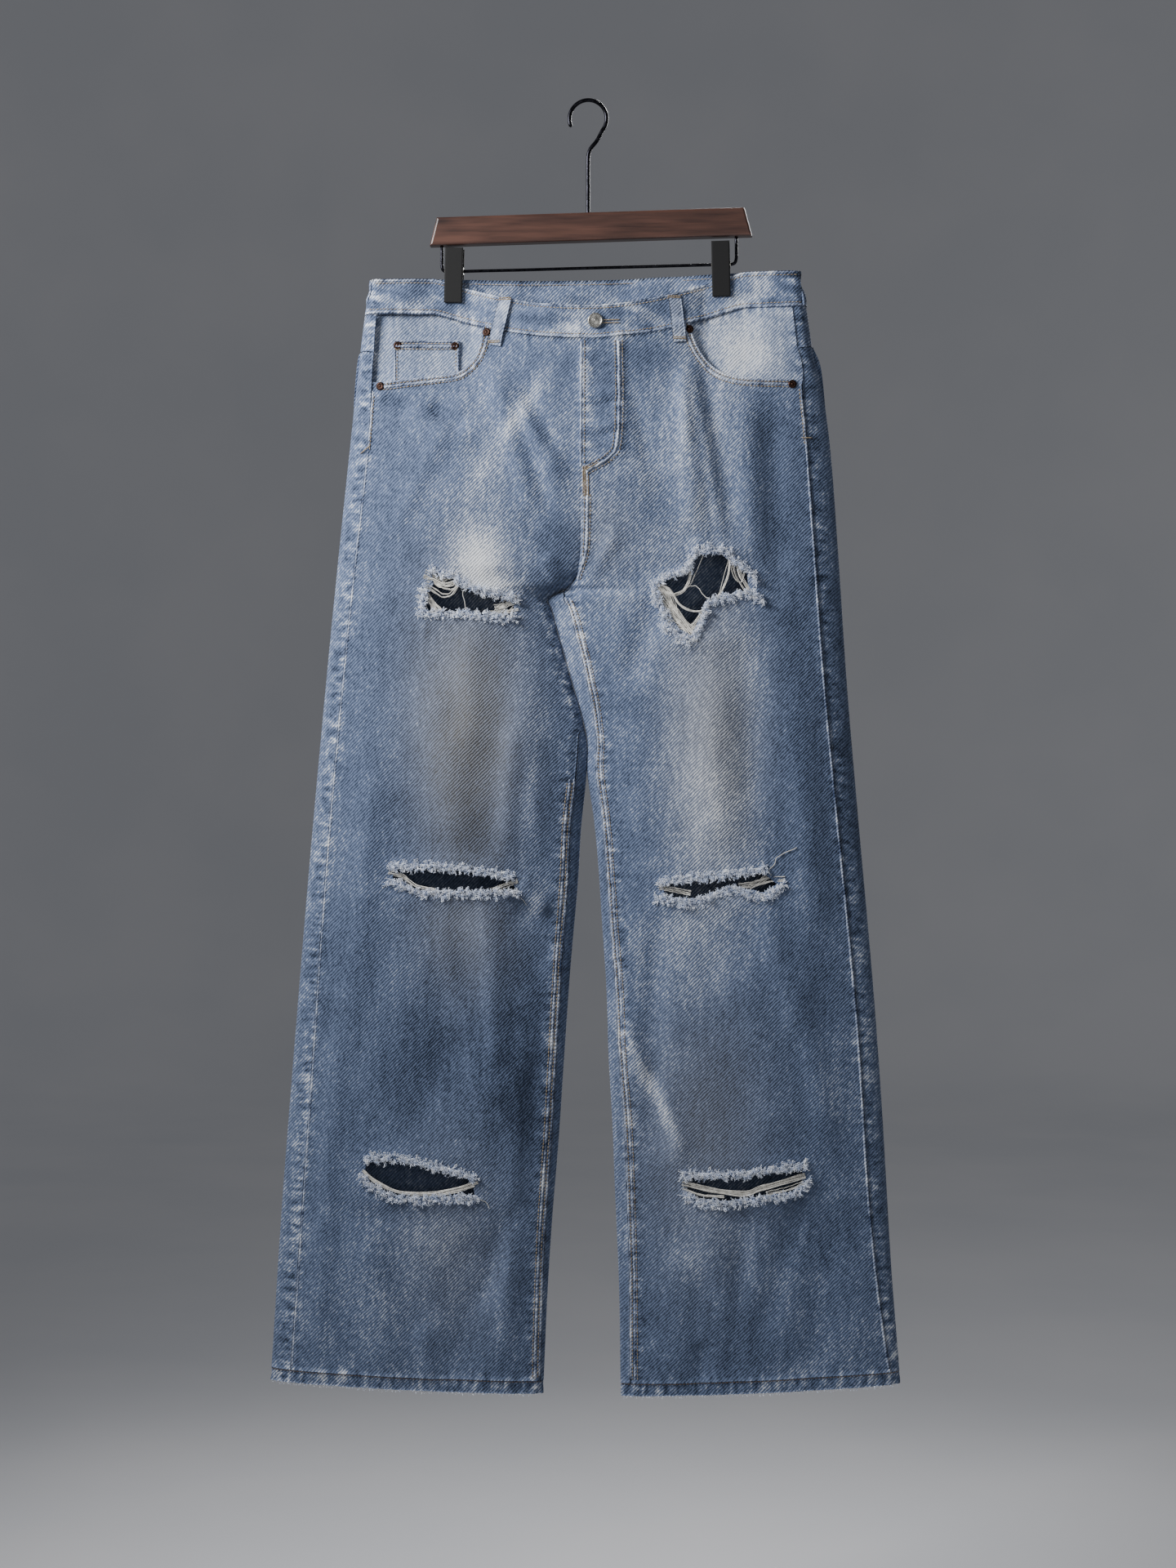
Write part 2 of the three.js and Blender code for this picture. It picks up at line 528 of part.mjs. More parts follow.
// Bar: a long trapezium with eased edges, bored for the hook and the rail.
const BAR_HALF_THICK = 7;
const BAR_EASE = 2.4;
const barShape = new THREE.Shape([[-144.6, 11.5], [149.4, 11.5], [155.6, -11.5], [-151, -11.5]]
  .map(([x, z]) => new THREE.Vector2(x, z)));
const barBlock = new THREE.ExtrudeGeometry(barShape, {
  depth: 2 * (BAR_HALF_THICK - BAR_EASE), bevelThickness: BAR_EASE, bevelSize: BAR_EASE,
  bevelSegments: 3,
});
barBlock.translate(0, 0, -(BAR_HALF_THICK - BAR_EASE));
barBlock.rotateX(Math.PI / 2);
barBlock.rotateY(-BAR_TILT);
barBlock.translate(0, 0, -121.7);
const bore = (x, top, bottom, radius) => {
  const geometry = new THREE.CylinderGeometry(radius, radius, top - bottom, 16);
  geometry.rotateX(Math.PI / 2);
  geometry.translate(x, 0, (top + bottom) / 2);
  return toSolid(geometry);
};
const RAIL_LEFT = -142.3;
const RAIL_RIGHT = 143.2;
const bar = toSolid(barBlock)
  .subtract(bore(0, -100, -125, HOOK_WIRE + 0.4))
  .subtract(bore(RAIL_LEFT, -128, -145, RAIL_WIRE + 0.4))
  .subtract(bore(RAIL_RIGHT, -124, -145, RAIL_WIRE + 0.4));
add('hanger_bar', fromSolid(bar), WALNUT);

add('hanger_rail', tube([[RAIL_LEFT, 0, -129], [RAIL_LEFT, 0, -145], [RAIL_LEFT, 0, -156],
  [RAIL_LEFT + 1.2, 0, -160.6], [RAIL_LEFT + 5, 0, -162.4], [-110, 0, -162], [-60, 0, -161.5],
  [0, 0, -160.6], [60, 0, -159.9], [110, 0, -159.2], [RAIL_RIGHT - 5, 0, -158.9],
  [RAIL_RIGHT - 1.2, 0, -157.2], [RAIL_RIGHT, 0, -152.5], [RAIL_RIGHT, 0, -140],
  [RAIL_RIGHT, 0, -125]], RAIL_WIRE, 44, 8), BLACK_NICKEL);

// Clips: two plates that close on the waistband, turning about a barrel on the rail.
function clip(label, x, top, railHeight, lean) {
  const PLATE = { wide: 17.5, tall: 53.5, thick: 2.4, corner: 1.2 };
  for (const [face, sign] of [['front', -1], ['back', 1]]) {
    const w = PLATE.wide / 2 - PLATE.corner;
    const h = PLATE.tall / 2 - PLATE.corner;
    const shape = new THREE.Shape([[-w, -h], [w, -h], [w, h], [-w, h]]
      .map(([px, pz]) => new THREE.Vector2(px, pz)));
    const plate = new THREE.ExtrudeGeometry(shape, {
      depth: PLATE.thick - 1.2, bevelThickness: 0.6, bevelSize: PLATE.corner, bevelSegments: 2,
    });
    plate.translate(0, 0, -(PLATE.thick - 1.2) / 2);
    plate.rotateX(Math.PI / 2);
    plate.rotateY(lean);
    plate.translate(x, sign * (4.1 + PLATE.thick / 2), top - PLATE.tall / 2);
    add(`clip_${label}_${face}`, plate, BLACK_PLATE);
  }
  const barrel = [[2.3, -9.2], [3.6, -9.2], [3.6, 9.2], [2.3, 9.2], [2.3, -9.2]]
    .map(([r, h]) => new THREE.Vector2(r, h));
  const geometry = new THREE.LatheGeometry(barrel, 20);
  geometry.rotateZ(-Math.PI / 2);
  geometry.translate(x, 0, railHeight);
  add(`clip_${label}_pivot`, geometry, NICKEL);
}
clip('left', -130.2, -139.8, -162.1, 0.025);
clip('right', 128.5, -137.2, -159.05, -0.02);

export default group;
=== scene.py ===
"""Looks of a pair of ripped wide-leg jeans hung by two clips from a wooden hanger.

Sizes inside the cut classes are millimetres; every mesh is written in metres in the frame of the
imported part: +Z up, the front of the garment towards -Y, origin at the inside top of the hook.
"""

import logging
import math
from dataclasses import dataclass, field
from enum import Enum
from typing import Callable, Sequence

import bpy
import numpy as np
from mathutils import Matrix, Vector

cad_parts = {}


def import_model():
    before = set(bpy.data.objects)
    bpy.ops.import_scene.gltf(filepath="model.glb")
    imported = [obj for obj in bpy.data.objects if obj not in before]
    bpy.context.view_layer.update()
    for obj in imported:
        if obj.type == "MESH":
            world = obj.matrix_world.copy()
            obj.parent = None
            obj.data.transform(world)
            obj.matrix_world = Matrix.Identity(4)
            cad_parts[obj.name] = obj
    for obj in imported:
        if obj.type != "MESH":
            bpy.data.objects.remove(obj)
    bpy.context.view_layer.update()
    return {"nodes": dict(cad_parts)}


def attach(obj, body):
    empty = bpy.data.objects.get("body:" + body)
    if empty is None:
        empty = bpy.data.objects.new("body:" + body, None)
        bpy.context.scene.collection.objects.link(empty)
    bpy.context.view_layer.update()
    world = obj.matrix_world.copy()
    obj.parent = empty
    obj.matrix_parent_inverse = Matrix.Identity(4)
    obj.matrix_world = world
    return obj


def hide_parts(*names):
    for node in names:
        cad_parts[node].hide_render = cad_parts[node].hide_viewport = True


LOG = logging.getLogger("ripped_jeans")
MM = 0.001
Array = np.ndarray
Point2 = tuple[float, float]
Object = bpy.types.Object
Material = bpy.types.Material
Socket = bpy.types.NodeSocket
Tree = bpy.types.NodeTree


class Face(Enum):
    """The two faces of the hanging garment."""

    FRONT = -1.0
    BACK = 1.0


def clamp01(t: Array) -> Array:
    """Limits values to the range 0 to 1."""
    return np.clip(t, 0, 1)


def smooth(start: float, end: float, t: Array) -> Array:
    """Smooth step from 0 at start to 1 at end."""
    k = clamp01((np.asarray(t, float) - start) / (end - start))
    return k * k * (3 - 2 * k)


def mix(a: Array, b: Array, t: Array) -> Array:
    """Linear blend from a to b."""
    return a + (b - a) * t


def bell(distance: Array, width: float) -> Array:
    """A soft bump of height 1 around distance 0."""
    return np.exp(-((distance / width) ** 2))


def lattice_noise(x: Array, z: Array, cell: float, seed: int) -> Array:
    """Smooth value noise between -1 and 1 on a square lattice.

    Args: x: first coordinate; z: second coordinate; cell: size of a lattice cell in the same unit; seed:
        fixed seed of the lattice.
    Returns: noise values with the shape of x.
    """
    table = np.random.default_rng(seed).uniform(-1, 1, (64, 64))
    u = np.asarray(x, float) / cell
    v = np.asarray(z, float) / cell
    i = np.floor(u).astype(int)
    j = np.floor(v).astype(int)
    s = smooth(0, 1, u - i)
    t = smooth(0, 1, v - j)
    corner = lambda a, b: table[a % 64, b % 64]
    low = mix(corner(i, j), corner(i + 1, j), s)
    high = mix(corner(i, j + 1), corner(i + 1, j + 1), s)
    return mix(low, high, t)


class Profile:
    """A smooth curve through (height, value) pairs listed from the top down."""

    def __init__(self, *pairs: Point2) -> None:
        """Stores the pairs.

        Args: *pairs: height and value of each knot, highest first.
        """
        knots = np.array(pairs[::-1], float)
        self._z = knots[:, 0]
        self._v = knots[:, 1]
        last = len(knots) - 1
        before = np.maximum(np.arange(last + 1) - 1, 0)
        after = np.minimum(np.arange(last + 1) + 1, last)
        self._slope = (self._v[after] - self._v[before]) / (self._z[after] - self._z[before])

    def __call__(self, z: Array) -> Array:
        """Value of the curve at each height.

        Args: z: heights.
        Returns: values with the shape of z.
        """
        z = np.clip(np.asarray(z, float), self._z[0], self._z[-1])
        i = np.clip(np.searchsorted(self._z, z, side="right") - 1, 0, len(self._z) - 2)
        gap = self._z[i + 1] - self._z[i]
        t = (z - self._z[i]) / gap
        t2, t3 = t * t, t * t * t
        return ((2 * t3 - 3 * t2 + 1) * self._v[i] + (t3 - 2 * t2 + t) * gap * self._slope[i]
            + (3 * t2 - 2 * t3) * self._v[i + 1] + (t3 - t2) * gap * self._slope[i + 1])


# ---- the cut of the garment
CROTCH = -472
WAIST_TOP = -168.5
WAIST_SEAM = -202.5
HEM_TOP = -1227
HEM_END = -1239
CENTRE_X = -5.5
SEAM_GAP = 0.7
FRONT_COLUMNS = 76
BACK_COLUMNS = 84
YOKE_ROWS, YOKE_COLUMNS = 14, 60
FORK = ((-160, -5.5), (-425, -5.5), (-441, -6.5), (-458, -10), (-466, -15), (-472, -23), (-477, -34),
    (-482, -39.5), (-490, -35.5), (-515, -29), (-537, -22.5), (-560, -16), (-585, -8.5), (-617, -1),
    (-648, -1))
CENTRE_LINE = Profile(*(pair for pair in FORK if pair[0] >= CROTCH))


@dataclass(frozen=True)
class Side:
    """One half of the garment: its outline and where its seams run."""

    name: str
    sign: float
    outer: Profile
    inner: Profile
    outseam: Profile
    inseam: Profile
    hem_rise: Point2


LEFT = Side("left", -1, Profile((-168, -213), (-175, -213.5), (-215, -219), (-270, -225.5), (-330, -232),
    (-430, -242.5), (-565, -256), (-755, -273.5), (-978, -292), (-1074, -299.5), (-1242, -310.5)),
    Profile(*FORK, (-703, -6.5), (-754, -9.5), (-834, -16.5), (-925, -23), (-1000, -28), (-1076, -34.5),
    (-1152, -39.5), (-1242, -43.5)), Profile((-168, 12), (-208, 13), (-268, 17), (-340, 19), (-500, 18),
    (-700, 18), (-1048, 21.5), (-1240, 20.5)), Profile((-472, 0), (-600, 0), (-613, 7), (-652, 10),
    (-754, 9.5), (-925, 7.5), (-1076, 6), (-1240, 3)), (-1, -10))
RIGHT = Side("right", 1, Profile((-165, 205.5), (-177, 206.5), (-216, 212.5), (-255, 218.5),
    (-275, 224.5), (-334, 233), (-430, 240.5), (-565, 249.5), (-690, 260), (-848, 274), (-973, 283),
    (-1130, 292), (-1232, 300)), Profile(*FORK, (-693, 5.5), (-733, 9.5), (-794, 13.5), (-854, 17.5),
    (-925, 20), (-987, 23.5), (-1050, 26), (-1139, 30), (-1242, 31.5)),
    Profile((-168, 12), (-204, 14), (-244, 15), (-304, 21), (-457, 22), (-656, 20), (-888, 17.5),
    (-1036, 17.5), (-1150, 13.5), (-1230, 9)), Profile((-472, 0), (-480, 16), (-497, 18), (-529, 18),
    (-560, 16), (-585, 13.5), (-617, 10), (-672, 9.5), (-733, 8.5), (-873, 10), (-1022, 12.5),
    (-1172, 10.5), (-1240, 10)), (5, -11))
SIDES = (LEFT, RIGHT)


@dataclass(frozen=True)
class Crease:
    """A soft ridge (positive height) or trough (negative) along a straight line of the cloth."""

    start: Point2
    end: Point2
    width: float
    height: float

    def raised(self, x: Array, z: Array) -> Array:
        """Distance the cloth moves outwards.

        Args: x: positions across; z: heights.
        Returns: outward distance in millimetres.
        """
        (x0, z0), (x1, z1) = self.start, self.end
        length = math.hypot(x1 - x0, z1 - z0)
        along = ((x - x0) * (x1 - x0) + (z - z0) * (z1 - z0)) / length ** 2
        off = ((x - x0) * (z1 - z0) - (z - z0) * (x1 - x0)) / length
        ends = smooth(-0.15, 0.2, along) * smooth(1.15, 0.8, along)
        return self.height * bell(off, self.width) * ends


def creases(*rows: tuple[float, ...]) -> tuple[Crease, ...]:
    """Creases from plain rows."""
    return tuple(Crease(row[:2], row[2:4], *row[4:]) for row in rows)


MAIN_CREASES = creases((-70, -600, -78, -730, 10, 1.6), (-140, -800, -92, -1000, 9, 1.2),
    (200, -820, 232, -1010, 13, 1.6), (66, -800, 60, -1000, 12, -1.5), (-240, -900, -262, -1200, 12, 1.4),
    (-62, -880, -80, -1200, 11, 1.5), (150, -1080, 140, -1225, 11, -1.6), (-90, -245, -18, -370, 13, 3),
    (96, -250, 104, -420, 12, 2.5), (30, -880, 98, -1030, 12, 3.5), (-150, -560, -120, -720, 22, 2.5),
    (120, -560, 130, -730, 24, 2.5), (-130, -840, -160, -1000, 26, -2.5), (150, -830, 190, -1000, 24, 2),
    (-215, -1090, -190, -1225, 20, 2), (-110, -1090, -125, -1225, 24, -2.5),
    (90, -1100, 80, -1225, 22, 2), (230, -1080, 215, -1225, 24, -2))
FRONT_CREASES = creases((-92, -250, -52, -400, 8, 1.6), (-74, -262, -34, -400, 6, -1.6),
    (92, -245, 96, -335, 6, 1.8), (102, -250, 130, -425, 4, 1.4), (114, -262, 142, -420, 9, -1.6),
    (178, -300, 184, -470, 13, -2.4), (152, -300, 160, -430, 11, 1.4), (-120, -285, -190, -420, 9, 1.3),
    (-60, -400, -20, -455, 8, -1.4), (46, -270, 60, -350, 7, -1.3), (-150, -296, -120, -312, 9, -3.2),
    (-196, -284, -172, -300, 8, -2.6), (-168, -318, -110, -330, 12, 1.6), (-60, -262, -30, -330, 9, -1.8),
    (-2, -262, 30, -268, 5, 1.5), (-2, -282, 30, -276, 4, -1.5), (-2, -300, 30, -306, 5, 1.8),
    (-2, -318, 28, -312, 4, -1.4), (-3, -336, 20, -342, 5, 1.4), (104, -425, 122, -448, 8, 1.8),
    (60, -285, 75, -400, 16, -1.6), (-38, -440, -16, -474, 8, 2), (30, -420, -4, -470, 8, 1.6),
    (-64, -752, -38, -782, 7, 2.4), (-72, -778, -30, -830, 14, -1.8), (70, -480, 40, -560, 14, -1.8),
    (-110, -505, -112, -640, 16, 1.8), (150, -520, 160, -690, 18, -1.8),
    (-205, -640, -228, -900, 16, 1.6), (-60, -560, -48, -720, 14, 1.4), (-96, -780, -84, -990, 15, 2.2),
    (-215, -1060, -150, -1180, 15, -1.6), (-70, -1060, -105, -1160, 12, -2),
    (60, -930, 75, -1010, 10, -2.2), (110, -1070, 150, -1200, 15, 1.8),
    (205, -1060, 165, -1190, 14, -1.6), (200, -560, 218, -800, 16, 1.4), (172, -785, 200, -900, 12, 1.8),
    (-160, -1180, -150, -1226, 10, 1.6), (110, -1190, 112, -1226, 9, -1.6))
BACK_CREASES = creases((-180, -300, -60, -450, 18, 2), (170, -300, 50, -450, 18, 2),
    (-140, -470, -50, -490, 12, -2.2), (130, -470, 40, -490, 12, -2.2), (-200, -720, -90, -760, 16, 2),
    (190, -720, 80, -760, 16, 2), (-190, -780, -100, -810, 14, -1.8), (180, -780, 90, -810, 14, -1.8))


class Form:
    """The flattened body of the hanging garment, shared by every cloth piece."""

    body_depth = Profile((-200, 20), (-260, 27), (-340, 31), (-420, 32), (-472, 29))
    leg_depth = Profile((-400, 24), (-520, 26), (-700, 25), (-1000, 22), (-1242, 19))
    front_drop = Profile((-168, 31), (-203, 29), (-260, 22), (-330, 9), (-400, 0))
    back_drop = Profile((-168, 3), (-203, 4), (-300, 0))
    pinch = Profile((-168, 3.3), (-192, 3.4), (-206, 7), (-230, 9))
    sag_span = 150
    clip_inner = 114
    clip_outer = 144

    @staticmethod
    def waist_dip(x: Array) -> Array:
        """How much of the waistband's dip is felt across the front."""
        return np.maximum(0, 1 - (x / Form.sag_span) ** 2) ** 1.2

    @staticmethod
    def span(side: Side, zn: Array, gap: float = 0.15) -> tuple[Array, Array, Array]:
        """Ellipse that spans one side at a nominal height.

        Args: side: half of the garment; zn: nominal heights; gap: clearance kept from the line where the
            halves meet.
        Returns: the inner edge, the centre and the half width.
        """
        outer = side.outer(zn)
        inner = np.where(zn < CROTCH, side.inner(zn), CENTRE_LINE(zn)) + side.sign * gap
        return inner, (outer + inner) / 2, np.abs(outer - inner) / 2

    @classmethod
    def waist_depth(cls, x: Array, zn: Array, face: Face) -> Array:
        """Half depth at the waist: pinched at the clips, bowed between them.

        Args: x: positions across; zn: nominal heights; face: front or back.
        Returns: half depths.
        """
        sag = 17 if face is Face.FRONT else 5
        bow = np.maximum(0, 1 - (x / cls.clip_inner) ** 2)
        beyond = smooth(cls.clip_outer, cls.clip_outer + 45, np.abs(x))
        edge = np.where(x < 0, x - LEFT.outer(zn), RIGHT.outer(zn) - x)
        fold = clamp01(edge / 10)
        return (cls.pinch(zn) + sag * bow + 4.5 * beyond) * np.sqrt(1 - (1 - fold) ** 2)

    @classmethod
    def folds(cls, x: Array, zn: Array, face: Face) -> Array:
        """All the creases of one face.

        Args: x: positions across; zn: nominal heights; face: front or back.
        Returns: outward distance.
        """
        deep = mix(1.6, 2.3, smooth(-500, -620, zn))
        scale = deep if face is Face.FRONT else 0.9
        total = scale * sum(crease.raised(x, zn) for crease in MAIN_CREASES)
        extra = FRONT_CREASES if face is Face.FRONT else BACK_CREASES
        total += deep * sum(crease.raised(x, zn) for crease in extra)
        seed = 5 if face is Face.FRONT else 9
        ripple = 0.9 * lattice_noise(x, zn * 0.45, 42, seed)
        return total + ripple + 0.4 * lattice_noise(x, zn, 17, seed + 1)

    @classmethod
    def depth(cls, side: Side, x: Array, zn: Array, face: Face) -> Array:
        """Half depth of one face.

        Args: side: half of the garment; x: positions across; zn: nominal heights; face: front or back.
        Returns: half depths.
        """
        inner, centre, half = cls.span(side, zn, 0)
        across = clamp01(1 - ((x - centre) / half) ** 2)
        leg = cls.leg_depth(zn) * np.sqrt(across)
        folds = cls.folds(x, zn, face)
        low = leg + folds * smooth(0, 0.35, across)
        left, right = LEFT.outer(zn), RIGHT.outer(zn)
        rim = clamp01(1 - ((x - (left + right) / 2) / ((right - left) / 2)) ** 2)
        body = cls.body_depth(zn) * np.sqrt(rim)
        under = clamp01((-330 - zn) / (-330 - CROTCH))
        inward = clamp01((side.sign * (centre - x) + half) / (2 * half))
        rounded = 1 - np.sqrt(1 - under * under)
        split = mix(smooth(0, 1, under), rounded, smooth(0.45, 0.9, inward))
        hollow = np.hypot(mix(body, leg, split), 2 * inward * under)
        soft = folds * smooth(0, 0.3, rim) * smooth(-205, -260, zn)
        soft = soft * smooth(0, 30, np.abs(x - inner))
        high = mix(cls.waist_depth(x, zn, face), hollow, smooth(-200, -320, zn)) + soft
        return np.where(zn < CROTCH, low, high)

    @classmethod
    def lowered(cls, side: Side, x: Array, zn: Array, face: Face) -> Array:
        """Real height of points given by their nominal height.

        Args: side: half of the garment; x: positions across; zn: nominal heights; face: front or back.
        Returns: real heights.
        """
        drop = cls.front_drop(zn) if face is Face.FRONT else cls.back_drop(zn)
        inner, _, _ = cls.span(side, zn)
        outer = side.outer(zn)
        across = clamp01((x - outer) / (inner - outer))
        hem = mix(side.hem_rise[0], side.hem_rise[1], across) * smooth(-950, HEM_END, zn)
        return zn - cls.waist_dip(x) * drop + 0.008 * x * smooth(-480, -200, zn) + hem

    @classmethod
    def nominal(cls, side: Side, x: Array, z: Array, face: Face) -> Array:
        """Nominal height of points given by their real height.

        Args: side: half of the garment; x: positions across; z: real heights; face: front or back.
        Returns: nominal heights.
        """
        zn = np.array(z, float)
        for _ in range(8):
            zn = zn + z - cls.lowered(side, x, zn, face)
        return zn

    @classmethod
    def wrap(cls, side: Side, psi: Array, zn: Array) -> Array:
        """Points round one side: 0 at the outer fold, pi at the inner one, front positive.

        Args: side: half of the garment; psi: angles round the side; zn: nominal heights.
        Returns: points, with x, y and z last.
        """
        _, centre, half = cls.span(side, zn)
        x = centre + side.sign * half * np.cos(psi)
        front = np.sin(psi) >= 0
        y = np.where(front, -cls.depth(side, x, zn, Face.FRONT), cls.depth(side, x, zn, Face.BACK))
        z = np.where(front, cls.lowered(side, x, zn, Face.FRONT), cls.lowered(side, x, zn, Face.BACK))
        return np.stack([x, y, z], axis=-1)

    @classmethod
    def on_face(cls, x: Array, z: Array, face: Face, lift: Array = 0.0) -> Array:
        """Points on one face at real heights, moved out along the cloth's normal.

        Args: x: positions across; z: real heights; face: front or back; lift: distance moved out, or in
            when negative.
        Returns: points, with x, y and z last.
        """
        x, z = np.broadcast_arrays(np.asarray(x, float), np.asarray(z, float))

        def depth(px: Array, pz: Array) -> Array:
            """Half depth of the whole face.

            Args: px: positions across; pz: real heights.
            Returns: half depths.
            """
            zn = [cls.nominal(side, px, pz, face) for side in SIDES]
            values = [cls.depth(side, px, n, face) for side, n in zip(SIDES, zn)]
            split = np.where(zn[0] < CROTCH, LEFT.inner(zn[0]), CENTRE_LINE(zn[0]))
            return np.where(px < split, values[0], values[1])

        y = depth(x, z)
        step = 1.5
        slope_x = (depth(x + step, z) - depth(x - step, z)) / (2 * step)
        slope_z = (depth(x, z + step) - depth(x, z - step)) / (2 * step)
        slope_x, slope_z = np.clip(slope_x, -2, 2), np.clip(slope_z, -2, 2)
        size = np.sqrt(1 + slope_x ** 2 + slope_z ** 2)
        out = face.value
        return np.stack([x - lift * slope_x / size, out * (y + lift / size), z - lift * slope_z / size],
            axis=-1)

    @classmethod
    def seam_angles(cls, side: Side, zn: Array) -> tuple[Array, Array]:
        """Angles of the side seam and the inner seam.

        Args: side: half of the garment; zn: nominal heights.
        Returns: the two angles.
        """
        _, _, half = cls.span(side, zn)
        out = np.arccos(1 - side.outseam(zn) / half)
        reach = np.where(zn < CROTCH, np.maximum(0.01, side.inseam(zn)), 0)
        return out, math.pi - np.arccos(1 - reach / half)


# ---- meshes
def mesh_object(name: str, points: Array, faces: Sequence = (), edges: Sequence = (),
        smooth_faces: bool = True) -> Object:
    """A mesh object in the scene.

    Args: name: name of the object and its mesh; points: vertices in millimetres; faces: vertex indices of
        each face; edges: vertex indices of loose edges; smooth_faces: whether the faces are shaded
        smooth.
    Returns: the new object.
    """
    mesh = bpy.data.meshes.new(name)
    mesh.from_pydata((points * MM).tolist(), edges, faces)
    mesh.validate()
    if smooth_faces:
        mesh.shade_smooth()
    obj = bpy.data.objects.new(name, mesh)
    bpy.context.collection.objects.link(obj)
    return obj


def select(*objects: Object) -> None:
    """Selects only the given objects and makes the first one active.

    Args: *objects: objects to select.
    """
    for other in bpy.context.selected_objects:
        other.select_set(False)
    for obj in objects:
        obj.select_set(True)
    bpy.context.view_layer.objects.active = objects[0]


def carry(obj: Object) -> None:
    """Ties a piece to the root body and reports it."""
    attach(obj, "root")
    LOG.info("%s: %d faces", obj.name, len(obj.data.polygons))


def ring_faces(rings: int, count: int) -> list[tuple[int, ...]]:
    """Quads between rings of points that follow each other."""
    return [(k * count + i, k * count + (i + 1) % count, (k + 1) * count + (i + 1) % count,
        (k + 1) * count + i) for k in range(rings - 1) for i in range(count)]


class Cloth:
    """Builds closed cloth walls from rows of points on their outer face."""

    @staticmethod
    def wall(name: str, rows: Array, thickness: float, out: float, ring: bool = False,
            lift: Array | None = None) -> Object:
        """A closed wall of cloth.

        Args: name: name of the object; rows: points on the outer face, rows by columns by 3, in
            millimetres; thickness: wall thickness in millimetres; out: sign of the face's outward Y, or 0
            for a ring round a leg; ring: whether the last column joins the first; lift: optional distance
            to move each point out before thickening.
        Returns: the new object.
        """
        if ring:
            padded = np.concatenate([rows[:, -1:], rows, rows[:, :1]], axis=1)
            across = (padded[:, 2:] - padded[:, :-2]) / 2
        else:
            across = np.gradient(rows, axis=1)
        down = np.gradient(rows, axis=0)
        normal = np.cross(across, down)
        normal /= np.maximum(np.linalg.norm(normal, axis=2, keepdims=True), 1e-9)
        vote = np.sum(normal[..., 1] * (out if out else rows[..., 1]))
        turned = vote < 0
        if turned:
            normal = -normal
        if lift is not None:
            rows = rows + normal * lift[..., None]
        high, wide = rows.shape[:2]
        points = np.concatenate([rows.reshape(-1, 3), (rows - normal * thickness).reshape(-1, 3)])
        grid = np.arange(high * wide).reshape(high, wide)
        if ring:
            grid = np.concatenate([grid, grid[:, :1]], axis=1)
        layer = high * wide
        a, b, c, d = grid[:-1, :-1], grid[:-1, 1:], grid[1:, 1:], grid[1:, :-1]
        outer = np.stack([a, b, c, d], axis=-1).reshape(-1, 4)
        faces = [outer, outer[:, ::-1] + layer]
        faces.append(Cloth._edge(grid[0][::-1], layer))
        faces.append(Cloth._edge(grid[-1], layer))
        if not ring:
            faces.append(Cloth._edge(grid[:, 0], layer))
            faces.append(Cloth._edge(grid[:, -1][::-1], layer))
        quads = np.concatenate(faces)
        if turned:
            quads = quads[:, ::-1]
        return mesh_object(name, points, quads.tolist())

    @staticmethod
    def _edge(line: Array, layer: int) -> Array:
        """Quads that close one edge of a wall."""
        a, b = line[:-1], line[1:]
        return np.stack([a, b, b + layer, a + layer], axis=-1)[:, ::-1]

    @staticmethod
    def prism(outline: Sequence[Point2], y0: float, y1: float) -> Object:
        """A straight-sided cutter through one face.

        Args: outline: corners as (x, z) in millimetres; y0: lower end; y1: upper end.
        Returns: the cutter object.
        """
        count = len(outline)
        ends = [[(x, y, z) for x, z in outline] for y in (y0, y1)]
        points = np.array(ends[0] + ends[1])
        caps = [tuple(range(count)), tuple(range(2 * count - 1, count - 1, -1))]
        sides = [(i, i + count, (i + 1) % count + count, (i + 1) % count) for i in range(count)]
        obj = mesh_object("cutter", points, caps + sides, smooth_faces=False)
        select(obj)
        bpy.ops.object.mode_set(mode="EDIT")
        bpy.ops.mesh.select_all(action="SELECT")
        bpy.ops.mesh.normals_make_consistent(inside=False)
        bpy.ops.object.mode_set(mode="OBJECT")
        return obj

    @staticmethod
    def cut(obj: Object, outlines: Sequence[Sequence[Point2]]) -> None:
        """Cuts openings through a front wall.

        Args: obj: the cloth; outlines: corners of each opening.
        """
        for outline in outlines:
            cutter = Cloth.prism(outline, -70, -0.5)
            modifier = obj.modifiers.new("cut", "BOOLEAN")
            modifier.operation = "DIFFERENCE"
            modifier.solver = "EXACT"
            modifier.object = cutter
            Cloth.bake(obj)
            mesh = cutter.data
            bpy.data.objects.remove(cutter)
            bpy.data.meshes.remove(mesh)

    @staticmethod
    def bake(obj: Object) -> None:
        """Replaces an object's mesh with its evaluated one and removes the modifiers.

        Args: obj: object with modifiers.
        """
        graph = bpy.context.evaluated_depsgraph_get()
        mesh = bpy.data.meshes.new_from_object(obj.evaluated_get(graph))
        mesh.name = obj.name
        old = obj.data
        obj.modifiers.clear()
        obj.data = mesh
        bpy.data.meshes.remove(old)

    @staticmethod
    def join(name: str, objects: Sequence[Object]) -> Object:
        """Joins objects into one.

        Args: name: name of the joined object; objects: objects to join.
        Returns: the joined object.
        """
        select(*objects)
        bpy.ops.object.join()
        objects[0].name = name
        objects[0].data.name = name
        return objects[0]


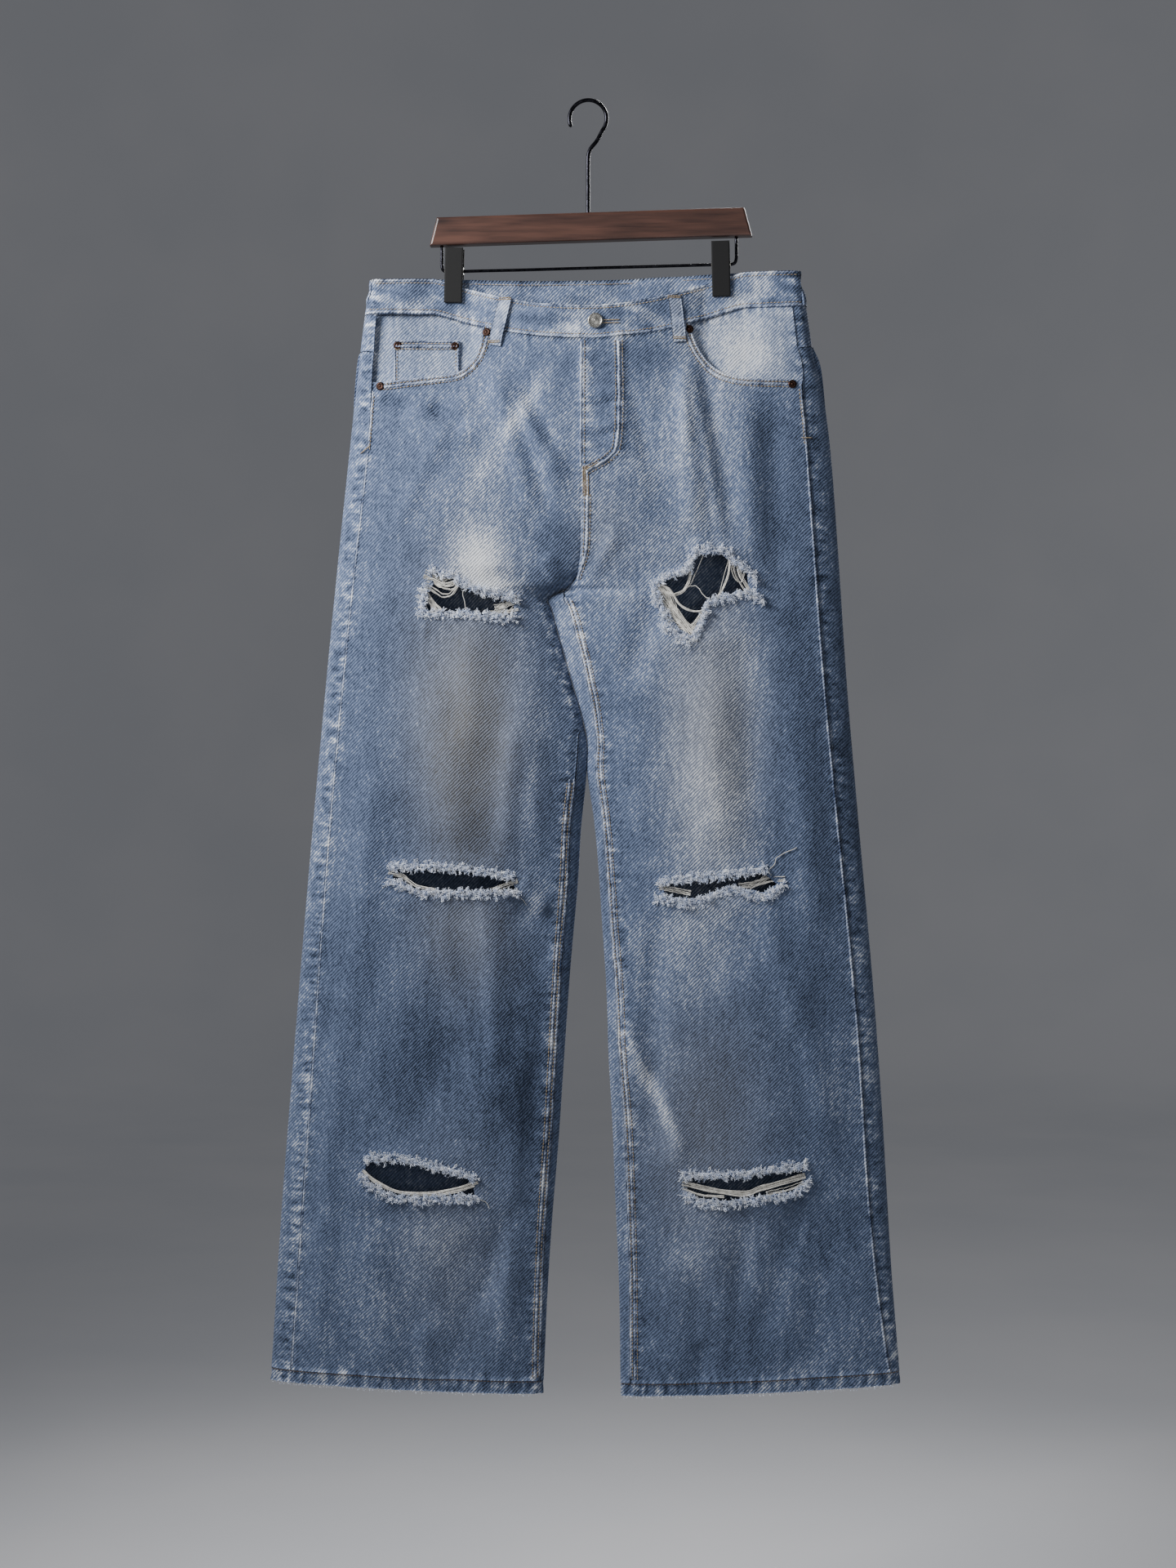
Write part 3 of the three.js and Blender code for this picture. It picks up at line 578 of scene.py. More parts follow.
class WashAndPaintedLight:
    """Wear of the cloth with painted light and shade, kept on each vertex: fade with painted shade and
    highlights, sand tint, upright and level seam wear.
    """

    seam_width = 7.5
    # Oval patches of the wash: positive ones are cloth worn pale round the rips and on the thighs, some of
    # them painted highlights along fold ridges; negative ones are painted shade in crease troughs, round
    # the fly and crotch and down the legs.
    worn_and_painted_light = ((0.75, -104, -448, 24, 34), (0.55, -86, -470, 30, 10), (0.50, -62, -300, 11, 62, 0.60),
        (0.25, -108, -400, 34, 100), (0.26, 96, -300, 9, 70), (0.22, 116, -350, 5, 80, 0.2),
        (-0.30, 20, -300, 14, 50), (-0.25, -30, -255, 24, 16), (-0.30, 56, -250, 18, 12),
        (-0.30, -28, -430, 16, 36), (0.20, 0, -262, 5, 60), (-0.12, 176, -330, 18, 70),
        (-0.46, -112, -650, 52, 160), (0.36, 128, -640, 46, 150), (-0.22, -205, -560, 44, 170),
        (-0.20, -30, -640, 24, 130), (0.05, -118, -830, 60, 60), (0.22, 120, -800, 50, 60),
        (0.55, 62, -950, 9, 75, -0.52), (0.35, -50, -775, 9, 26, 0.5), (0.26, -150, -1110, 60, 50),
        (0.22, 130, -1110, 60, 50), (0.26, -52, -660, 5, 60, 0.12), (0.22, -96, -850, 7, 70, -0.06),
        (0.24, 200, -700, 8, 90, -0.1), (-0.20, 60, -1080, 22, 90), (0.30, -16, -520, 14, 60),
        (0.45, 150, -245, 26, 26), (-0.35, -141, -303, 17, 8), (-0.25, -184, -292, 12, 7),
        (-0.30, -150, -900, 70, 90), (-0.28, 170, -900, 55, 120), (-0.25, -70, -940, 30, 170),
        (-0.22, 190, -560, 22, 160))
    sanded = ((1, -114, -600, 50, 125), (0.9, 120, -610, 38, 120), (0.35, -104, -455, 26, 26),
        (0.4, -118, -800, 46, 60), (0.40, 110, -1000, 60, 120), (0.3, -130, -1100, 50, 90),
        (0.25, 20, -420, 26, 40))

    @staticmethod
    def paint(obj: Object) -> None:
        """Writes the wear attributes; wear_fade also holds painted shade and highlights.

        Args: obj: cloth piece.
        """
        mesh = obj.data
        co = np.empty(len(mesh.vertices) * 3, np.float32)
        mesh.vertices.foreach_get("co", co)
        x, y, z = (co.reshape(-1, 3).astype(float) / MM).T
        # The fade holds the wash fade together with painted shade and painted highlights.
        fade = WashAndPaintedLight._fade_and_painted_light(x, z) * np.where(y < 2, 1, 0.4)
        sand = WashAndPaintedLight._sand(x, z) * np.where(y < 2, 1, 0.3)
        upright, level = WashAndPaintedLight._seams(x, y, z)
        for name, values in (("wear_fade", fade), ("wear_sand", sand), ("wear_upright", upright),
                ("wear_level", level)):
            layer = mesh.attributes.new(name, "FLOAT", "POINT")
            layer.data.foreach_set("value", values.astype(np.float32))

    @staticmethod
    def _patches(x: Array, z: Array, patches: Sequence[tuple[float, ...]]) -> Array:
        """Sum of soft oval patches.

        Args: x: positions across; z: heights; patches: strength, middle x and z, half width and height,
            and any sideways lean of each.
        Returns: strengths.
        """
        total = np.zeros_like(x)
        for strength, x0, z0, wide, high, *lean in patches:
            dx = x - x0 - (lean[0] if lean else 0) * (z - z0)
            total += strength * np.exp(-((dx / wide) ** 2 + ((z - z0) / high) ** 2))
        return total

    @staticmethod
    def _fade_and_painted_light(x: Array, z: Array) -> Array:
        """Lightness of the wash with painted light and shade: positive where the cloth is worn pale or
        painted with highlights along fold ridges, negative where it is darker or painted with shade in
        creases, down the lower legs and on the right side.

        Args: x: positions across; z: heights.
        Returns: fade values, with the painted light and shade.
        """
        # Painted shade: the lower legs are darkened, and the right side above them, where less light falls.
        lower = smooth(-620, -900, z)
        shade = -0.10 * lower - 0.24 * smooth(150, 215, x) * (1 - lower)
        band = smooth(-206, -200, z + 29 * Form.waist_dip(x))
        # The first noise is painted light and shade of slanted wrinkles on the waistband; the last two are
        # tone that differs at random.
        return (WashAndPaintedLight._patches(x, z, WashAndPaintedLight.worn_and_painted_light) + shade + 0.42 * band * lattice_noise(x * 0.5 + z,
            z - 0.3 * x, 12, 23) + 0.14 * lattice_noise(x, z * 0.5, 60, 21) + 0.10 * lattice_noise(x, z,
            21, 22))

    @staticmethod
    def _sand(x: Array, z: Array) -> Array:
        """Strength of the yellowish-grey tint on the thighs."""
        return clamp01(WashAndPaintedLight._patches(x, z, WashAndPaintedLight.sanded))

    @classmethod
    def _seams(cls, x: Array, y: Array, z: Array) -> tuple[Array, Array]:
        """Wear along the seams.

        Args: x: positions across; y: positions from front to back; z: heights.
        Returns: strength along upright seams and along level ones.
        """
        upright = np.zeros_like(x)
        front = y < 4
        for side in SIDES:
            inner = np.where(z < CROTCH, side.inner(z), CENTRE_LINE(z))
            inside = (x - inner) * side.sign > -2
            out_line = side.outer(z) - side.sign * side.outseam(z)
            upright += inside * bell(x - out_line - side.sign * 4, cls.seam_width + 2)
            in_line = side.inner(z) + side.sign * side.inseam(z)
            below = smooth(CROTCH + 2, CROTCH - 10, z) * inside
            upright += below * bell(x - in_line - side.sign * 6, cls.seam_width)
        centre = smooth(CROTCH - 6, CROTCH + 4, z) * smooth(-225, -240, z)
        upright += 0.8 * centre * bell(x - CENTRE_LINE(z) - 6, cls.seam_width)
        upright += 0.7 * bell(x - 33, 6) * smooth(-350, -340, z) * smooth(-225, -240, z)
        side_hem = np.where(x < 0, mix(-1, -10, clamp01((x + 310) / 267)),
            mix(5, -11, clamp01((300 - x) / 268)))
        hem = HEM_TOP + side_hem
        level = bell(z - hem + 3, 9)
        band = WAIST_SEAM - Form.waist_dip(x) * 29
        level += np.where(front, bell(z - band, 6), bell(z - WAIST_SEAM - 3, 6))
        top = WAIST_TOP - Form.waist_dip(x) * np.where(front, 31, 3)
        level += 0.8 * bell(z - top, 4)
        return clamp01(upright * np.where(front, 1, 0.35)), clamp01(level)


# ---- finishes
class Graph:
    """Small helper for building node trees."""

    def __init__(self, tree: Tree) -> None:
        """Wraps a tree."""
        self.tree = tree

    def node(self, kind: str, inputs: dict | None = None, **props: object) -> bpy.types.Node:
        """Adds a node.

        Args: kind: node type; inputs: socket name or index to value or socket; **props: node properties.
        Returns: the node.
        """
        made = self.tree.nodes.new(kind)
        for key, value in props.items():
            setattr(made, key, value)
        for key, value in (inputs or {}).items():
            self.feed(made.inputs[key], value)
        return made

    @classmethod
    def finish(cls, name: str) -> tuple["Graph", Material, Socket]:
        """Starts a material.

        Args: name: name of the material.
        Returns: its graph, the material and the object coordinates.
        """
        material = bpy.data.materials.new(name)
        material.use_nodes = True
        graph = cls(material.node_tree)
        return graph, material, graph.node("ShaderNodeTexCoord").outputs["Object"]

    def shade(self, inputs: dict) -> None:
        """Sets the surface shader.

        Args: inputs: socket name to value or socket.
        """
        shader = self.tree.nodes["Principled BSDF"]
        for key, value in inputs.items():
            self.feed(shader.inputs[key], value)

    def feed(self, socket: Socket, value: object) -> None:
        """Links or sets a socket.

        Args: socket: input socket; value: socket to link, or a constant.
        """
        if isinstance(value, Socket):
            self.tree.links.new(value, socket)
        else:
            socket.default_value = value

    def math(self, operation: str, a: object, b: object = 0.0) -> Socket:
        """A math node."""
        return self.node("ShaderNodeMath", {0: a, 1: b}, operation=operation).outputs[0]

    def total(self, first: object, *others: object) -> object:
        """Sum of values and sockets.

        Args: first: first term; *others: further terms.
        Returns: the sum.
        """
        for other in others:
            first = self.math("ADD", first, other)
        return first

    def times(self, a: object, b: object) -> object:
        """Product of two values or sockets."""
        return self.math("MULTIPLY", a, b)

    def swing(self, value: object, gain: float) -> object:
        """A noise centred on 0 and scaled."""
        return self.times(self.math("SUBTRACT", value, 0.5), gain)

    def blend(self, factor: object, a: object, b: object) -> object:
        """A colour mix."""
        return self.node("ShaderNodeMix", {0: factor, 6: a, 7: b}, data_type="RGBA").outputs[2]

    def noise(self, vector: object, scale: float, detail: float = 3.0) -> object:
        """Noise of a scale."""
        return self.node("ShaderNodeTexNoise", {"Vector": vector, "Scale": scale,
            "Detail": detail}).outputs[0]

    def stretch(self, vector: object, scale: tuple[float, float, float]) -> object:
        """Scaled coordinates."""
        return self.node("ShaderNodeMapping", {"Vector": vector, "Scale": scale}).outputs[0]


def rgb(red: float, green: float, blue: float) -> tuple[float, float, float, float]:
    """Linear colour from display values."""
    return (*(((v / 255) ** 2.2) for v in (red, green, blue)), 1)


TWILL_PITCH = 0.0034


def twill_group() -> Tree:
    """Shader group for the diagonal weave, shared by every cloth finish.

    Returns: the group: Vector in, Weft and Height out.
    """
    found = bpy.data.node_groups.get("Twill")
    if found:
        return found
    tree = bpy.data.node_groups.new("Twill", "ShaderNodeTree")
    tree.interface.new_socket("Vector", in_out="INPUT", socket_type="NodeSocketVector")
    tree.interface.new_socket("Weft", in_out="OUTPUT", socket_type="NodeSocketFloat")
    tree.interface.new_socket("Height", in_out="OUTPUT", socket_type="NodeSocketFloat")
    graph = Graph(tree)
    source = graph.node("NodeGroupInput").outputs["Vector"]
    split = graph.node("ShaderNodeSeparateXYZ", {0: source})
    wobble = graph.times(graph.noise(source, 260, 2), 0.0022)
    slant = graph.total(graph.math("SUBTRACT", split.outputs[0], split.outputs[2]), wobble)
    rib = graph.math("SINE", graph.times(slant, 2 * math.pi / TWILL_PITCH))
    yarn = graph.noise(graph.stretch(source, (1, 1, 0.7)), 360, 3)
    weft = graph.total(graph.times(rib, 0.30), 0.5, graph.swing(yarn, 1.3))
    sink = graph.node("NodeGroupOutput")
    graph.feed(sink.inputs["Weft"], weft)
    graph.feed(sink.inputs["Height"], graph.total(rib, graph.times(yarn, 1.2)))
    return tree


@dataclass(frozen=True)
class DenimFinish:
    """Washed denim with twill, fade with painted light and shade in it, sand tint and worn seams."""

    name: str
    deep: tuple = rgb(44, 53, 71)
    light: tuple = rgb(112, 127, 158)
    pale: tuple = rgb(232, 236, 243)
    sand: tuple = rgb(168, 164, 154)
    shift: float = 0.0

    def build(self) -> Material:
        """Makes the material.

        Returns: the material.
        """
        graph, material, place = Graph.finish(self.name)
        wear = {key: graph.node("ShaderNodeAttribute", attribute_name=f"wear_{key}").outputs[2]
            for key in ("fade", "sand", "upright", "level")}
        twill = graph.node("ShaderNodeGroup", {"Vector": place}, node_tree=twill_group())
        cloud = graph.noise(place, 14, 5)
        slub = graph.noise(graph.stretch(place, (1, 1, 0.12)), 170, 2)
        rung = graph.noise(graph.stretch(place, (0.22, 1, 1)), 175, 2)
        post = graph.noise(graph.stretch(place, (1, 1, 0.25)), 150, 2)
        worn_and_painted_light = graph.total(self._rub(graph, rung, wear["upright"]), self._rub(graph, post, wear["level"]))
        # The wear_fade attribute brings in the wash fade and the painted shade and highlights.
        tone = graph.total(graph.swing(cloud, 0.24), graph.swing(slub, 0.30),
            graph.times(wear["fade"], 0.62), worn_and_painted_light, 0.50 + self.shift,
            graph.swing(twill.outputs["Weft"], 0.62))
        ramp = graph.node("ShaderNodeValToRGB", {0: tone})
        ramp.color_ramp.elements[0].position = 0
        ramp.color_ramp.elements[0].color = self.deep
        ramp.color_ramp.elements[1].position = 1.15
        middle = ramp.color_ramp.elements.new(0.62)
        middle.color = self.light
        ramp.color_ramp.elements[2].position = 1
        ramp.color_ramp.elements[2].color = self.pale
        colour = graph.blend(graph.times(wear["sand"], 0.72), ramp.outputs[0],
            graph.blend(0.55, ramp.outputs[0], self.sand))
        pucker = graph.total(graph.times(rung, wear["upright"]), graph.times(post, wear["level"]))
        coarse = graph.node("ShaderNodeBump", {"Height": pucker, "Strength": 0.9, "Distance": 0.0016})
        fine = graph.node("ShaderNodeBump", {"Height": twill.outputs["Height"], "Strength": 0.5,
            "Distance": 0.0004, "Normal": coarse.outputs[0]})
        graph.shade({"Base Color": colour, "Roughness": 0.93, "Sheen Weight": 0.18,
            "Sheen Roughness": 0.5, "Specular IOR Level": 0.2, "Normal": fine.outputs[0]})
        return material

    @staticmethod
    def _rub(graph: Graph, pattern: object, mask: object) -> object:
        """Light and dark rub marks under a mask."""
        marks = graph.times(graph.math("SUBTRACT", pattern, 0.49), 1.7)
        return graph.times(marks, mask)


@dataclass(frozen=True)
class PlainFinish:
    """One colour with fine variation, for threads, metals and lacquer."""

    name: str
    colour: tuple
    dark: tuple
    roughness: float = 0.8
    metallic: float = 0.0
    scale: float = 400.0
    bump: float = 0.2
    sheen: float = 0.0

    def build(self) -> Material:
        """Makes the material.

        Returns: the material.
        """
        graph, material, place = Graph.finish(self.name)
        grain = graph.noise(place, self.scale, 3)
        sharp = graph.node("ShaderNodeMapRange", {"Value": grain, "From Min": 0.35,
            "From Max": 0.65}).outputs[0]
        rough = graph.total(graph.times(grain, 0.2), self.roughness - 0.1)
        bump = graph.node("ShaderNodeBump", {"Height": grain, "Strength": self.bump, "Distance": 0.0004})
        graph.shade({"Base Color": graph.blend(sharp, self.dark, self.colour), "Roughness": rough,
            "Metallic": self.metallic, "Sheen Weight": self.sheen, "Normal": bump.outputs[0]})
        return material


@dataclass(frozen=True)
class WoodFinish:
    """Dark varnished wood with long grain and faint knots."""

    name: str
    light: tuple = rgb(94, 64, 54)
    dark: tuple = rgb(42, 27, 24)

    def build(self) -> Material:
        """Makes the material.

        Returns: the material.
        """
        graph, material, place = Graph.finish(self.name)
        long_grain = graph.noise(graph.stretch(place, (0.09, 1, 1)), 190, 6)
        pores = graph.noise(graph.stretch(place, (0.04, 1, 1)), 900, 2)
        patches = graph.noise(graph.stretch(place, (0.5, 1, 1)), 26, 2)
        tone = graph.total(graph.times(long_grain, 1.1), graph.times(patches, 0.5), graph.times(pores, 0.3))
        fade = graph.node("ShaderNodeMapRange", {"Value": tone, "From Min": 0.6,
            "From Max": 1.3}).outputs[0]
        bump = graph.node("ShaderNodeBump", {"Height": pores, "Strength": 0.15, "Distance": 0.0003})
        graph.shade({"Base Color": graph.blend(fade, self.dark, self.light), "Roughness": 0.38,
            "Coat Weight": 0.3, "Coat Roughness": 0.3, "Normal": bump.outputs[0]})
        return material


class Finishes:
    """All finishes, built once."""

    def __init__(self) -> None:
        """Builds every material."""
        self.denim = DenimFinish("denim_body").build()
        self.seam = DenimFinish("denim_seam_cloth", shift=0.05).build()
        self.pale = DenimFinish("denim_facing", deep=rgb(58, 70, 96), light=rgb(136, 150, 178),
            shift=0.12).build()
        self.ridge = DenimFinish("denim_ridge", deep=rgb(54, 66, 94), light=rgb(158, 170, 196),
            shift=0.04).build()
        # Reverse side of the denim: paler than the outside, and lightened further as painted light for the
        # inner faces that little light reaches through the rips.
        self.inside = DenimFinish("denim_inside", deep=rgb(104, 122, 152), light=rgb(160, 178, 208),
            pale=rgb(180, 196, 220), shift=-0.05).build()
        self.gold = PlainFinish("thread_gold", rgb(196, 178, 146), rgb(116, 94, 66), 0.85, scale=900,
            sheen=0.2).build()
        self.brown = PlainFinish("thread_brown", rgb(96, 78, 66), rgb(58, 46, 42), 0.85, scale=900,
            sheen=0.2).build()
        self.fringe = PlainFinish("fringe_yarn", rgb(247, 249, 253), rgb(206, 218, 242), 0.95, scale=240,
            sheen=0.3).build()
        self.weft = PlainFinish("weft_yarn", rgb(236, 233, 224), rgb(190, 187, 180), 0.95, scale=300,
            sheen=0.3).build()
        self.copper = PlainFinish("aged_copper", rgb(74, 52, 44), rgb(24, 18, 16), 0.45, 0.8,
            scale=700).build()
        self.nickel = PlainFinish("antique_nickel", rgb(205, 203, 196), rgb(120, 118, 112), 0.32, 0.9,
            scale=800).build()
        self.black_nickel = PlainFinish("black_nickel", rgb(44, 44, 50), rgb(24, 24, 28), 0.26, 0.9,
            scale=300, bump=0.05).build()
        self.black_plate = PlainFinish("black_lacquer", rgb(15, 15, 17), rgb(9, 9, 10), 0.8, 0, scale=900,
            bump=0.1).build()
        self.walnut = WoodFinish("walnut_bar").build()
        self.floor = PlainFinish("studio_floor", rgb(232, 232, 235), rgb(226, 227, 231), 0.9, scale=2,
            bump=0).build()


# ---- repeated small things
@dataclass(frozen=True)
class Path:
    """A line on the cloth along which something repeats."""

    points: Sequence[Point2]
    face: Face = Face.FRONT
    lift: float = 0.15
    smooth_line: bool = True
    relief: Callable[[Array], Array] | None = None

    def sampled(self, step: float = 3.0) -> tuple[Array, Array]:
        """Points along the line, on the cloth.

        Args: step: distance between samples in millimetres.
        Returns: points and outward directions.
        """
        corners = np.array(self.points, float)
        dense = Path.curve(corners) if self.smooth_line and len(corners) > 2 else corners
        lengths = np.concatenate([[0], np.cumsum(np.linalg.norm(np.diff(dense, axis=0), axis=1))])
        count = max(2, int(lengths[-1] / step) + 1)
        at = np.linspace(0, lengths[-1], count)
        x = np.interp(at, lengths, dense[:, 0])
        z = np.interp(at, lengths, dense[:, 1])
        lift = self.lift
        if self.relief:
            lift = lift + self.relief(Form.on_face(x, z, self.face, 0))
        low = Form.on_face(x, z, self.face, lift)
        high = Form.on_face(x, z, self.face, lift + 1)
        return low, high - low

    @staticmethod
    def curve(corners: Array, per: int = 10) -> Array:
        """A smooth line through corners.

        Args: corners: points to pass through; per: samples between neighbouring corners.
        Returns: points of the line.
        """
        ends = np.concatenate([2 * corners[:1] - corners[1:2], corners,
            2 * corners[-1:] - corners[-2:-1]])
        parts = []
        for a, b, c, d in zip(ends[:-3], ends[1:-2], ends[2:-1], ends[3:]):
            t = np.linspace(0, 1, per, endpoint=False)[:, None]
            parts.append(0.5 * (2 * b + (c - a) * t + (2 * a - 5 * b + 4 * c - d) * t ** 2
                + (3 * b - a - 3 * c + d) * t ** 3))
        return np.concatenate([*parts, corners[-1:]])


class Repeater:
    """Geometry Nodes groups that place one small mesh along lines, or turn lines into yarn."""

    @staticmethod
    def lines(name: str, strands: Sequence[tuple[Array, Array]],
            radii: Sequence[float | Array] | None = None) -> Object:
        """A mesh of bare lines with an outward direction on each point.

        Args: name: name of the object; strands: points and directions of each line, in millimetres;
            radii: optional yarn radius of each line.
        Returns: the line object.
        """
        points, out, thick, edges, start = [], [], [], [], 0
        for index, (line, direction) in enumerate(strands):
            points.append(line)
            out.append(direction)
            thick.append(np.ones(len(line)) * (radii[index] if radii else 1.0))
            edges += [(start + i, start + i + 1) for i in range(len(line) - 1)]
            start += len(line)
        obj = mesh_object(name, np.concatenate(points), edges=edges, smooth_faces=False)
        mesh = obj.data
        vectors = mesh.attributes.new("out", "FLOAT_VECTOR", "POINT")
        vectors.data.foreach_set("vector", np.concatenate(out).astype(np.float32).ravel())
        sizes = mesh.attributes.new("thick", "FLOAT", "POINT")
        sizes.data.foreach_set("value", (np.concatenate(thick) * MM).astype(np.float32))
        return obj

    @staticmethod
    def _tree(name: str, sockets: Sequence[tuple[str, str]]) -> tuple[Graph, bpy.types.Node]:
        """Starts a geometry tree.

        Args: name: name of the tree; sockets: extra named inputs and their types.
        Returns: the graph and its input node.
        """
        tree = bpy.data.node_groups.new(name, "GeometryNodeTree")
        tree.interface.new_socket("Lines", in_out="INPUT", socket_type="NodeSocketGeometry")
        for label, kind in sockets:
            tree.interface.new_socket(label, in_out="INPUT", socket_type=kind)
        tree.interface.new_socket("Geometry", in_out="OUTPUT", socket_type="NodeSocketGeometry")
        graph = Graph(tree)
        return graph, graph.node("NodeGroupInput")

    @staticmethod
    def _close(graph: Graph, source: bpy.types.Node, shape: object) -> Tree:
        """Ends a geometry tree with real geometry and its material.

        Args: graph: tree being built; source: its input node; shape: geometry to put out.
        Returns: the finished tree.
        """
        real = graph.node("GeometryNodeRealizeInstances", {0: shape}).outputs[0]
        done = graph.node("GeometryNodeSetMaterial", {"Geometry": real,
            "Material": source.outputs["Material"]})
        graph.feed(graph.node("NodeGroupOutput").inputs[0], done.outputs[0])
        return graph.tree

    @classmethod
    def scatter_tree(cls) -> Tree:
        """Tree that places a mesh along lines.

        Returns: the tree.
        """
        found = bpy.data.node_groups.get("ScatterAlong")
        if found:
            return found
        graph, source = cls._tree("ScatterAlong", (("Spacing", "NodeSocketFloat"),
            ("Item", "NodeSocketObject"), ("Smallest", "NodeSocketFloat"), ("Largest", "NodeSocketFloat"),
            ("Tilt", "NodeSocketFloat"), ("Spin", "NodeSocketFloat"), ("Seed", "NodeSocketInt"),
            ("Material", "NodeSocketMaterial")))
        curve = graph.node("GeometryNodeMeshToCurve", {0: source.outputs["Lines"]}).outputs[0]
        resample = graph.node("GeometryNodeResampleCurve", {"Curve": curve}, mode="LENGTH")
        graph.feed(resample.inputs["Length"], source.outputs["Spacing"])
        tangent = graph.node("GeometryNodeInputTangent").outputs[0]
        out = graph.node("GeometryNodeInputNamedAttribute", {"Name": "out"},
            data_type="FLOAT_VECTOR").outputs[0]
        turn = graph.node("FunctionNodeAlignRotationToVector", {"Vector": out}, axis="Z")
        turn = graph.node("FunctionNodeAlignRotationToVector",
            {"Rotation": turn.outputs[0], "Vector": tangent}, axis="X", pivot_axis="Z")
        spin = graph.node("FunctionNodeRandomValue", data_type="FLOAT_VECTOR")
        reach = graph.node("ShaderNodeCombineXYZ", {0: source.outputs["Tilt"], 1: source.outputs["Tilt"],
            2: source.outputs["Spin"]}).outputs[0]
        back = graph.node("ShaderNodeVectorMath", {0: reach, 1: (-1.0, -1.0, -1.0)},
            operation="MULTIPLY").outputs[0]
        graph.feed(spin.inputs[0], back)
        graph.feed(spin.inputs[1], reach)
        graph.feed(spin.inputs["Seed"], source.outputs["Seed"])
        loose = graph.node("FunctionNodeEulerToRotation", {0: spin.outputs[0]}).outputs[0]
        rotation = graph.node("FunctionNodeRotateRotation",
            {"Rotation": turn.outputs[0], "Rotate By": loose}, rotation_space="LOCAL").outputs[0]
        size = graph.node("FunctionNodeRandomValue", data_type="FLOAT")
        graph.feed(size.inputs[2], source.outputs["Smallest"])
        graph.feed(size.inputs[3], source.outputs["Largest"])
        graph.feed(size.inputs["Seed"], source.outputs["Seed"])
        item = graph.node("GeometryNodeObjectInfo", {"Object": source.outputs["Item"]})
        placed = graph.node("GeometryNodeInstanceOnPoints",
            {"Points": resample.outputs[0], "Instance": item.outputs["Geometry"], "Rotation": rotation,
            "Scale": size.outputs[1]}).outputs[0]
        return cls._close(graph, source, placed)

    @classmethod
    def yarn_tree(cls) -> Tree:
        """Tree that turns lines into round yarn.

        Returns: the tree.
        """
        found = bpy.data.node_groups.get("YarnAlong")
        if found:
            return found
        graph, source = cls._tree("YarnAlong", (("Sides", "NodeSocketInt"),
            ("Material", "NodeSocketMaterial")))
        curve = graph.node("GeometryNodeMeshToCurve", {0: source.outputs["Lines"]}).outputs[0]
        thick = graph.node("GeometryNodeInputNamedAttribute", {"Name": "thick"},
            data_type="FLOAT").outputs[0]
        sized = graph.node("GeometryNodeSetCurveRadius", {"Curve": curve, "Radius": thick})
        ring = graph.node("GeometryNodeCurvePrimitiveCircle",
            {"Resolution": source.outputs["Sides"], "Radius": 1.0}).outputs[0]
        tube = graph.node("GeometryNodeCurveToMesh", {"Curve": sized.outputs[0], "Profile Curve": ring,
            "Fill Caps": True})
        graph.feed(tube.inputs["Scale"], thick)
        even = graph.node("GeometryNodeSetShadeSmooth", {"Geometry": tube.outputs[0]})
        return cls._close(graph, source, even.outputs[0])

    @staticmethod
    def run(obj: Object, tree: Tree, **values: object) -> None:
        """Runs a tree on an object and keeps the result as a plain mesh.

        Args: obj: line object; tree: geometry tree; **values: value of each named input.
        """
        modifier = obj.modifiers.new("repeat", "NODES")
        modifier.node_group = tree
        ids = {item.name: item.identifier for item in tree.interface.items_tree if item.in_out == "INPUT"}
        for label, value in values.items():
            modifier[ids[label]] = value
        Cloth.bake(obj)

    @classmethod
    def scatter(cls, name: str, strands: Sequence[tuple[Array, Array]], item: Object, material: Material,
            spacing: float, size: Point2 = (1.0, 1.0), tilt: float = 0.0, spin: float = 0.0,
            seed: int = 1) -> Object:
        """Places a small mesh along lines.

        Args: name: name of the result; strands: lines with directions; item: mesh to repeat, its Z
            pointing outwards and its X along the line; material: finish of the result; spacing: distance
            between copies in millimetres; size: smallest and largest scale; tilt: largest random tilt in
            radians; spin: largest random spin in radians; seed: fixed seed.
        Returns: the repeated mesh.
        """
        obj = cls.lines(name, strands)
        cls.run(obj, cls.scatter_tree(), Spacing=spacing * MM, Item=item, Smallest=size[0],
            Largest=size[1], Tilt=tilt, Spin=spin, Seed=seed, Material=material)
        return obj


